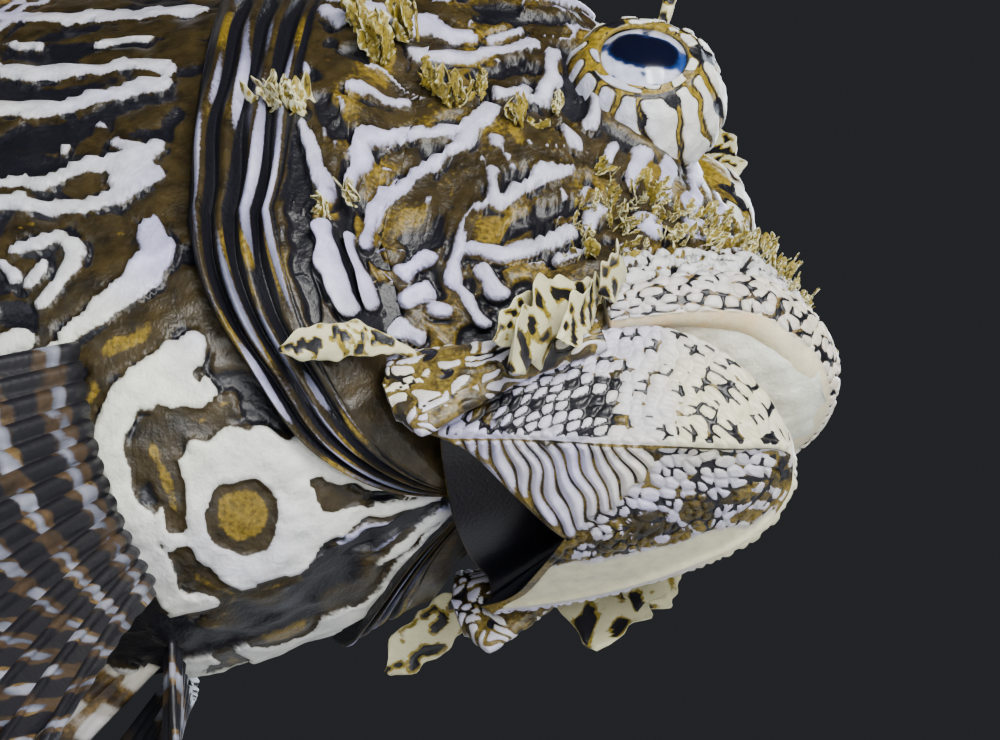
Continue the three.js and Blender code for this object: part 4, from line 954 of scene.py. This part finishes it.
for word, side in (("left", 1), ("right", -1)):
    lift = np.linspace(cover_low, cover_high, 270)
    out_t, in_t = np.linspace(0, 1, 200), np.linspace(1, 0, 14)[1:-1]
    grid_lift, grid_t = np.meshgrid(lift, np.concatenate([out_t, in_t]), indexing="ij")
    outer = np.concatenate([np.ones(len(out_t)), np.zeros(len(in_t))])[None, :]
    s, grow, crest = cover_sheet(grid_lift, grid_t)
    base = body(s, grid_lift, side)
    under = -0.6 + 0.9 * ease(0.7, 1, grid_t)
    soft = ease(0.46, 0.56, grid_t) * ease(53, 46, grid_lift)
    paint = skin_paint(base)
    streaks = ripple(np.stack([19 * grid_t, grid_lift / 15, 0 * s], -1), 1.0, 61)
    lines = 0.12 + 0.20 * crest + 0.62 * streaks
    # Painted shade: the dark of the folds deepens in their valleys, where crest is low, over the membrane's
    # own dark.
    dark = np.clip(0.35 + 0.75 * ease(0.5, -0.4, crest + 0.8 * streaks), 0, 1)
    paint[..., 0] = np.where(soft > 0, np.maximum(paint[..., 0] * (1 - soft), lines * soft), paint[..., 0])
    paint[..., 1] = paint[..., 1] * (1 - soft) + soft * (0.25 + 0.5 * ripple(base, 5, 62))
    paint[..., 2] = np.maximum(paint[..., 2] * (1 - soft), dark * soft)
    tone = -0.35 + 0.5 * ripple(base, 7, 66) - 0.5 * ease(-30, -60, grid_lift)
    paint[..., 3] = paint[..., 3] + soft * (np.clip(tone, -1, 0.3) - paint[..., 3])
    grow = grow + skin_relief(base, paint) * (1 - soft)
    grow = grow + (0.30 * ripple(base, 6, 64) + 0.15 * streaks) * soft * ease(0.02, 0.1, grid_t)
    sheet = body(s, grid_lift, side, np.where(outer > 0, np.maximum(grow, under + 0.3), under))
    mesh_piece("gill_cover_skin_" + word, [(sheet, paint)], skin_finish, ["gill_cover_" + word])


# Skin tabs: soft leaf-shaped flaps that hang from the lip and the cheek. They are pale yellow with dark
# hollows, thin at the root, with a ragged curled rim.
def leaf(root, reach, droop, width, thick, lean, seed, rings=46, around=44, frill=0.28, curl=0.8):
    """A leaf: an oval section carried along a bent line, as broad as its outline allows, with its rim cut in
    lobes and curled to one side by a wave that grows towards the rim."""
    root, reach, droop = (np.asarray(k, float) for k in (root, reach, droop))
    t = np.linspace(0, 1, rings)
    angle = np.linspace(0, 2 * np.pi, around, endpoint=False)
    grid_t, grid_angle = np.meshgrid(t, angle, indexing="ij")
    line = [root, root + 0.25 * reach + 0.75 * droop, root + 0.6 * reach + 0.8 * droop, root + reach]
    narrowing = np.sqrt(np.clip(1 - 0.97 * ease(0.78, 1, grid_t) ** 1.6, 0.02, 1))
    outline = (0.30 + 0.70 * ease(0.15, 0.6, grid_t)) * narrowing
    edge = np.sin(grid_angle)
    draw = np.random.default_rng(seed)
    a, b, c = draw.uniform(0, 6.28, 3)
    lobes = 1 + frill * np.abs(edge) ** 3 * (
        0.6 * np.sin(17 * grid_t + a + edge * 1.5) + 0.5 * np.sin(31 * grid_t + b - edge)
        + 0.3 * np.sin(53 * grid_t + c))
    tall = width * outline * lobes
    wide = thick * (1 - 0.45 * grid_t) * np.sqrt(np.clip(1 - ease(0.93, 1, grid_t), 0.05, 1))
    made = swept(line, t, grid_angle, wide, tall, lean)
    along = np.gradient(bend(line, t), axis=0)
    along /= np.linalg.norm(along, axis=1, keepdims=True)
    across = np.cross(along, lean)
    across /= np.linalg.norm(across, axis=1, keepdims=True)
    bow = curl * width * 0.35 * edge**2 * np.sin(7 * grid_t + a + 0.8 * edge) * ease(0.1, 0.5, grid_t)
    made = made + across[:, None] * bow[..., None]
    holes = ripple(made, 0.42 * width, seed + 1)
    inner = 1 - np.abs(edge) ** 4
    hollow = ease(-0.1, 0.5, holes) * (1 - 0.6 * np.abs(edge) ** 4)
    white = np.clip(0.60 + 0.30 * np.abs(edge) - 0.8 * hollow, 0, 1)
    black = ease(0.12, 0.5, holes) * inner
    made = made - across[:, None] * (0.7 * np.cos(grid_angle) * wide * black)[..., None]
    paint = np.stack([white, np.full(white.shape, 0.85), black, np.full(white.shape, 0.95)], -1)
    return made, paint


tab_finish = painted_skin(
    "tab_skin", (0.08, 0.055, 0.012), (0.40, 0.30, 0.03), (0.70, 0.68, 0.50), (0.86, 0.82, 0.50),
    grain=0.35, relief=0.12, edge=0.12, fray=0.3)
# Tabs as (root, reach, droop, width, thickness, frill), on the left side; each is broad across the way it
# hangs
tab_plan = [
    ((-26.5, 14.4, -5.5), (-3.2, 6.4, -17.6), (0, 1.6, 0.6), 3.4, 0.55, 0.30),
    ((-25.4, 14.6, -5.8), (-0.2, 5.6, -12.6), (0.6, 1.4, 0.8), 2.2, 0.45, 0.34),
    ((-27.2, 14.4, -6.0), (-5.0, 5.4, -13.0), (-0.6, 1.8, 0.2), 1.9, 0.45, 0.34),
    ((-24.6, 14.6, -4.2), (0.6, 5.0, -7.0), (1.0, 1.2, 1.4), 2.4, 0.45, 0.36),
    ((-41.0, 16.8, -19.0), (-10.6, 7.6, -7.2), (0, 0.6, 1.6), 1.8, 0.6, 0.16),
]
for word, side, broad_way in (("left", 1, (0.94, 0.20, 0.28)), ("right", -1, (-0.07, -0.69, 0.72))):
    parts = []
    for count, (root, reach, droop, width, thick, frill) in enumerate(tab_plan):
        root, reach, droop = (np.array(k) * (1, side, 1) for k in (root, reach, droop))
        width = width * (1.3 if side > 0 else 1)
        parts.append(leaf(root, reach, droop, width, thick, broad_way, 70 + 5 * count + side, frill=frill))
    mesh_piece("skin_tabs_" + word, parts, tab_finish, ["head"])


# Cirri and frills: small branching tufts on the cheek, and a ragged fringe of leaflets over the snout and
# above the upper lip, all the same soft yellow skin as the tabs.
def tuft(root, way, size, count, seed, spread=0.9, yellow=0.0):
    """Small leaves that fan out of one root: their directions scatter round the way, their sizes vary by a
    third. The more yellow they are, the less of them is pale."""
    draw = np.random.default_rng(seed)
    made = []
    for _ in range(count):
        aim = np.asarray(way, float) + draw.normal(size=3) * spread * 0.6
        aim /= np.linalg.norm(aim)
        length = size * draw.uniform(0.6, 1.15)
        start = np.asarray(root, float) + draw.normal(size=3) * size * 0.12
        lean = np.cross(aim, draw.normal(size=3))
        lean /= np.linalg.norm(lean)
        droop = draw.normal(size=3) * 0.12 * length
        leaf_seed = int(draw.integers(1, 9999))
        points, paint = leaf(start, aim * length, droop, size * 0.15, size * 0.05, lean, leaf_seed,
                             rings=13, around=10, frill=0.55, curl=0.8)
        paint[..., 0] -= 0.42 * yellow * draw.uniform(0.4, 1)
        paint[..., 2] *= 0.6
        made.append((points, paint))
    return made


# Tufts as [s, lift, length, leaves, how yellow]
cheek_tufts = [
    [55, 22, 4.6, 18, 1], [58, 27, 4.4, 16, 1], [53.5, 27, 4.0, 12, 1], [59.4, 12, 4.6, 14, 0],
    [62.5, 14, 3.8, 10, 0], [52.6, 0, 3.2, 8, 0], [50.7, 1, 2.8, 7, 0],
]
brow_tufts = [
    [46.5, 15, 3.6, 14, 1], [49.0, 18, 3.2, 12, 1], [44.5, 17, 3.0, 10, 1], [39.5, 14, 3.0, 12, 1],
    [37, 20, 2.4, 8, 0],
]
frill_line = np.array([[8, 12, 15, 18, 23, 27, 32], [60, 64, 51, 38, 30, 21, 10]])
# The tentacle over each eye, as its root and its reach, on the left side
brow_root = [(-32, 10.8, 33.4), (-6, 9, 19)]
for word, side in (("left", 1), ("right", -1)):
    parts = []
    for count, (s, lift, size, leaves, yellow) in enumerate(cheek_tufts):
        root = body(s, lift, side, 2.0)
        way = root - body(s, lift, side, 0.0) + np.array([-0.6, side * 0.4, 0.3])
        parts += tuft(root, way, size, leaves, 80 + 3 * count + side, 0.9, yellow)
    mesh_piece("cheek_tufts_" + word, parts, tab_finish, ["gill_cover_" + word])
    parts = []
    draw = np.random.default_rng(90 + side)
    for count, (s, lift, size, leaves, yellow) in enumerate(brow_tufts):
        root = body(s, lift, side, 0.2)
        way = root - body(s, lift, side, -1.0) + np.array([0, 0, 0.4])
        parts += tuft(root, way, size, leaves, 60 + count, 0.8, yellow)
    for count in range(96):
        s = draw.uniform(9, 32)
        lift = np.interp(s, frill_line[0], frill_line[1]) + draw.uniform(-18, 6)
        root = body(s, lift, side, 0.0)
        way = root - body(s, lift, side, -1.0) + np.array([0.5, 0, 0.2])
        parts += tuft(root, way, draw.uniform(1.3, 2.8), 3, 200 + 3 * count + side, 0.8, draw.uniform(0, 1))
    mesh_piece("snout_frill_" + word, parts, tab_finish, ["head"])
    root, reach = (np.array(k) * (1, side, 1) for k in brow_root)
    brow = [leaf(root, reach, (3, side * 2, 2), 2.2, 0.7, (1, 0, 0.2), 95 + side)]
    mesh_piece("brow_tentacle_skin_" + word, brow, tab_finish, ["brow_tentacle_" + word])


# Fins: long stiff rays with a soft membrane behind each that reaches the next ray only near the root, so most
# of a ray stands free like a feather. Rays are banded white and brown, the membrane is brown with paler
# windows.
def rayed_fin(roots, aims, lengths, sweeps, stops, core, tip_core, sheet, web, free, seed, bands=7.0,
              dark_root=0.0):
    """Closed strips, one for each ray: the ray is a bent line, its section a round core with a thin skin that
    runs towards the next ray, as wide as the gap up to the web's end and then as wide as a free feather. Over
    the first dark_root millimetres its pale bands are narrow arcs of slate grey that run on from ray to ray
    over black."""
    roots, aims, lengths, sweeps = (np.asarray(k, float) for k in (roots, aims, lengths, sweeps))
    t = np.linspace(0, 1, stops)
    lines = (roots[:, None] + aims[:, None] * (lengths[:, None] * t)[..., None]
             + sweeps[:, None] * (lengths[:, None] * 2 * t * (1 - t))[..., None])
    parts = []
    for k in range(len(lines)):
        line = lines[k]
        last = k + 1 == len(lines)
        other = 2 * line - lines[k - 1] if last else lines[k + 1]
        to_next = other - line
        gap = np.linalg.norm(to_next, axis=1, keepdims=True)
        to_next = to_next / gap
        along = np.gradient(line, axis=0)
        along /= np.linalg.norm(along, axis=1, keepdims=True)
        face = np.cross(along, to_next)
        face /= np.linalg.norm(face, axis=1, keepdims=True)
        beyond = ease(0.0 if last else web, min((0.0 if last else web) + 0.16, 1), t)
        loose = (core * 1.2 if last else free) * np.sqrt(1 - 0.92 * t * t)
        ragged = 1 + 0.10 * np.sin(37 * t + k) * ease(web, web + 0.2, t) + 0.06 * np.sin(83 * t + 2 * k)
        width = gap[:, 0] + 0.15 + (np.minimum(loose, gap[:, 0] * 0.8) - gap[:, 0] - 0.15) * beyond
        radius = (core + (tip_core - core) * t) / 2
        width = np.maximum(width * np.where(beyond > 0.5, ragged, 1), radius * 1.5)
        hem = np.minimum(sheet / 2, radius) * 0.8
        place = np.array([-1, -0.8, -0.4, 0, 0.4, 0.8, 1.1])
        far = np.linspace(0, 1, 13)[1:]
        reach = np.concatenate([np.outer(radius, place),
            radius[:, None] * 1.1 + np.outer(width, far) - np.outer(radius, far) * 1.1], 1)
        swell = np.sqrt(np.clip(1 - np.concatenate([place, np.full(12, 1.0)]) ** 2, 0, 1))
        height = np.maximum(np.outer(radius, swell),
                            np.outer(hem, np.concatenate([[0, 0.5], np.ones(16), [0.4]])))
        flutter = 0.5 * np.sin(reach * 0.9 + 14 * t[:, None] + k) * ease(0.1, 0.9, reach / width[:, None]) * (
            np.minimum(t * 3, 1) * beyond)[:, None]
        section = np.concatenate([reach, reach[:, ::-1][:, 1:-1]], 1)
        level = np.concatenate([height + flutter, (flutter - height)[:, ::-1][:, 1:-1]], 1)
        strip = line[:, None] + to_next[:, None] * section[..., None] + face[:, None] * level[..., None]
        spot = np.concatenate([reach / radius[:, None], (reach / radius[:, None])[:, ::-1][:, 1:-1]], 1)
        travel = (lengths[k] * t)[:, None] + 0.25 * section
        wave = np.sin(2 * np.pi * travel / bands + 0.8 * np.sin(k * 1.7) + 0.5 * ripple(strip, 9, seed + k))
        ray = ease(1.6, 1.0, np.abs(spot))
        window = ripple(strip, 2.6, seed + 40 + k)
        white = np.maximum(np.clip(0.5 + 0.6 * wave, 0, 1) * (0.45 + 0.55 * ray),
                           0.55 * ease(0.3, 0.8, window))
        gold = np.clip(0.62 + 0.35 * wave + 0.2 * window, 0, 1)
        warm = np.clip(0.6 + 0.3 * ripple(strip, 14, seed + 80), 0, 1)
        root_zone = ease(dark_root, 0.5 * dark_root, travel) if dark_root else 0 * travel
        arc = np.cos(2 * np.pi * (travel - 3.6) / 7.4 + 0.5 * ripple(strip, 12, seed + 90))
        white = white * (1 - root_zone) + root_zone * ease(0.62, 0.98, arc + 0.25 * window)
        gold = gold * (1 - root_zone) + root_zone * (0.25 + 0.4 * window)
        warm = warm - root_zone * (warm + 0.80 - 0.25 * window)
        black = np.maximum(0.5 * ease(0.2, 0.9, -wave) * ray,
                           root_zone * ease(0.5, 0.1, arc) * (0.9 + 0.25 * window))
        parts.append((strip, np.stack([white, gold, black, warm], -1)))
    return parts


fin_finish = painted_skin(
    "fin_skin", (0.075, 0.045, 0.022), (0.24, 0.15, 0.045), (0.66, 0.66, 0.78), (0.86, 0.80, 0.62),
    rough=0.5, grain=0.7, relief=0.15, edge=0.16, fray=0.3)


def mix(a, b, f):
    """A value that runs from a to b as f runs from 0 to 1."""
    return a + (b - a) * f


# Breast fins: fourteen long rays round the fleshy base behind the gill opening.
fan = np.linspace(0, 1, 14)
for word, side in (("left", 1), ("right", -1)):
    arc = [
        (-73, 23.4, -27.5), (-70.5, 20.8, -33.5), (-68.5, 17.0, -37.8), (-66.5, 12.0, -40.6),
        (-65.5, 5.5, -41.0),
    ]
    roots = bend(arc, fan) * (1, side, 1)
    drop, out = np.radians(mix(54, 100, fan)), mix(0.34, 0.36, fan)
    flat = np.sqrt(1 - out**2)
    aims = np.stack([-np.cos(drop) * flat, side * out, -np.sin(drop) * flat], -1)
    lengths = mix(150, 66, fan**1.2) * (0.86 + 0.14 * ease(0, 0.18, fan))
    sweeps = np.tile([0, side * 0.08, 0], (14, 1))
    parts = rayed_fin(roots, aims, lengths, sweeps, 90, 2.0, 0.9, 0.8, 0.4, 6.0, 300, 8.5, 75)
    mesh_piece("breast_fin_" + word, parts, fin_finish, ["pectoral_fin_" + word])


# Belly fins: six rays each, webbed nearly to the tip.
fan = np.linspace(0, 1, 6)
for word, side in (("left", 1), ("right", -1)):
    belly_line = through(body_stations, np.array([75.0]), 2)[0]
    roots = np.stack([-mix(70, 80, fan), side * mix(10.5, 4.5, fan), np.full(6, belly_line + 4)], -1)
    aims = np.stack([mix(-0.62, -0.86, fan), side * mix(0.36, 0.16, fan), mix(-0.62, -0.46, fan)], -1)
    aims /= np.linalg.norm(aims, axis=1, keepdims=True)
    lengths = mix(50, 64, np.sin(np.pi * mix(0.1, 0.8, fan)))
    sweeps = np.tile([0, side * 0.04, -0.05], (6, 1))
    parts = rayed_fin(roots, aims, lengths, sweeps, 60, 1.8, 0.9, 0.8, 0.8, 3.4, 340)
    mesh_piece("belly_fin_" + word, parts, fin_finish, ["pelvic_fin_" + word])


# Back fin: thirteen stiff spines, each with its own ragged flap, then a soft webbed part; the fin under the
# tail and the tail fin are soft too, spotted dark on clear skin.
def leaning(degrees, up=1):
    """Directions that lean back from upright by some degrees."""
    a = np.radians(degrees)
    return np.stack([-np.sin(a), np.zeros_like(a), up * np.cos(a)], -1)


def edge_of(s, column):
    """The height of the back (column 1) or the belly (column 2) over s."""
    return through(body_stations, s, column)


fan = np.linspace(0, 1, 13)
s = mix(64, 143, fan)
spines = rayed_fin(
    np.stack([-s, 0 * s, edge_of(s, 1) - 4], -1), leaning(mix(8, 40, fan)),
    [40, 59, 73, 81, 85, 86, 84, 80, 74, 65, 54, 42, 44], np.tile([0.03, 0, 0.02], (13, 1)),
    80, 2.3, 1.0, 0.8, 0.3, 5.2, 380, 9.0)
mesh_piece("back_spines", spines, fin_finish, ["spiny_dorsal_fin"])

fan = np.linspace(0, 1, 9)
s = mix(153, 190, fan)
soft_back = rayed_fin(
    np.stack([-s, 0 * s, edge_of(s, 1) - 3], -1), leaning(mix(50, 68, fan)),
    26 + 30 * np.sin(np.pi * mix(0.22, 0.8, fan)), np.tile([0, 0, 0.05], (9, 1)),
    60, 1.5, 0.8, 0.7, 0.82, 2.4, 420, 5.0)
mesh_piece("soft_back_fin", soft_back, fin_finish, ["soft_dorsal_fin"])
under_tail = rayed_fin(
    np.stack([-s, 0 * s, edge_of(s, 2) + 3], -1), leaning(mix(36, 66, fan), -1),
    22 + 34 * np.sin(np.pi * mix(0.12, 0.75, fan)), np.tile([0, 0, -0.05], (9, 1)),
    60, 1.5, 0.8, 0.7, 0.82, 2.4, 460, 5.0)
mesh_piece("under_tail_fin", under_tail, fin_finish, ["anal_fin"])

fan = np.linspace(0, 1, 11)
a = np.radians(mix(26, -26, fan))
tail_rays = rayed_fin(
    np.stack([np.full(11, -226.0), np.zeros(11), mix(10, -10, fan)], -1),
    np.stack([-np.cos(a), 0 * a, np.sin(a)], -1),
    60 + 17 * np.sin(np.pi * fan), np.stack([0 * fan, 0 * fan, mix(0.03, -0.03, fan)], -1),
    60, 1.6, 0.8, 0.7, 0.86, 2.4, 500, 5.0)
mesh_piece("tail_fin_skin", tail_rays, fin_finish, ["tail_fin"])


# Stand: a dark hardwood base with rounded corners, and two drawn steel rods that carry the fish.
wood_finish, tree, shader = new_finish("dark_hardwood")
place = node(tree, "TexCoord").outputs["Object"]
stretched = node(tree, "Mapping", Vector=place, Scale=(3.0, 40.0, 14.0))
grain = node(tree, "TexNoise", Vector=stretched.outputs[0], Scale=6.0, Detail=8, Roughness=0.65,
             Distortion=0.6)
tone = node(tree, "ValToRGB", Fac=grain.outputs[0])
tone.color_ramp.elements[0].position, tone.color_ramp.elements[0].color = 0.32, (0.020, 0.011, 0.006, 1)
tone.color_ramp.elements[1].position, tone.color_ramp.elements[1].color = 0.72, (0.105, 0.056, 0.028, 1)
tree.links.new(tone.outputs[0], shader.inputs["Base Color"])
bump = node(tree, "Bump", Height=grain.outputs[0], Strength=0.25, Distance=0.0004)
tree.links.new(bump.outputs[0], shader.inputs["Normal"])
settle(shader, Roughness=0.38, Coat_Weight=0.3, Coat_Roughness=0.2)

steel_finish, tree, shader = new_finish("drawn_steel")
place = node(tree, "TexCoord").outputs["Object"]
stretched = node(tree, "Mapping", Vector=place, Scale=(1.0, 1.0, 0.04))
scratches = node(tree, "TexNoise", Vector=stretched.outputs[0], Scale=2600.0, Detail=4, Roughness=0.6)
shine = node(tree, "MapRange", Value=scratches.outputs[0], To_Min=0.22, To_Max=0.42)
tree.links.new(shine.outputs[0], shader.inputs["Roughness"])
bump = node(tree, "Bump", Height=scratches.outputs[0], Strength=0.15, Distance=0.0001)
tree.links.new(bump.outputs[0], shader.inputs["Normal"])
settle(shader, Base_Color=(0.55, 0.56, 0.57, 1), Metallic=1.0)

stand_finishes = {"stand_base": wood_finish, "stand_rod_front": steel_finish, "stand_rod_rear": steel_finish}
for name, finish in stand_finishes.items():
    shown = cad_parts[name]
    shown.data.materials.clear()
    shown.data.materials.append(finish)
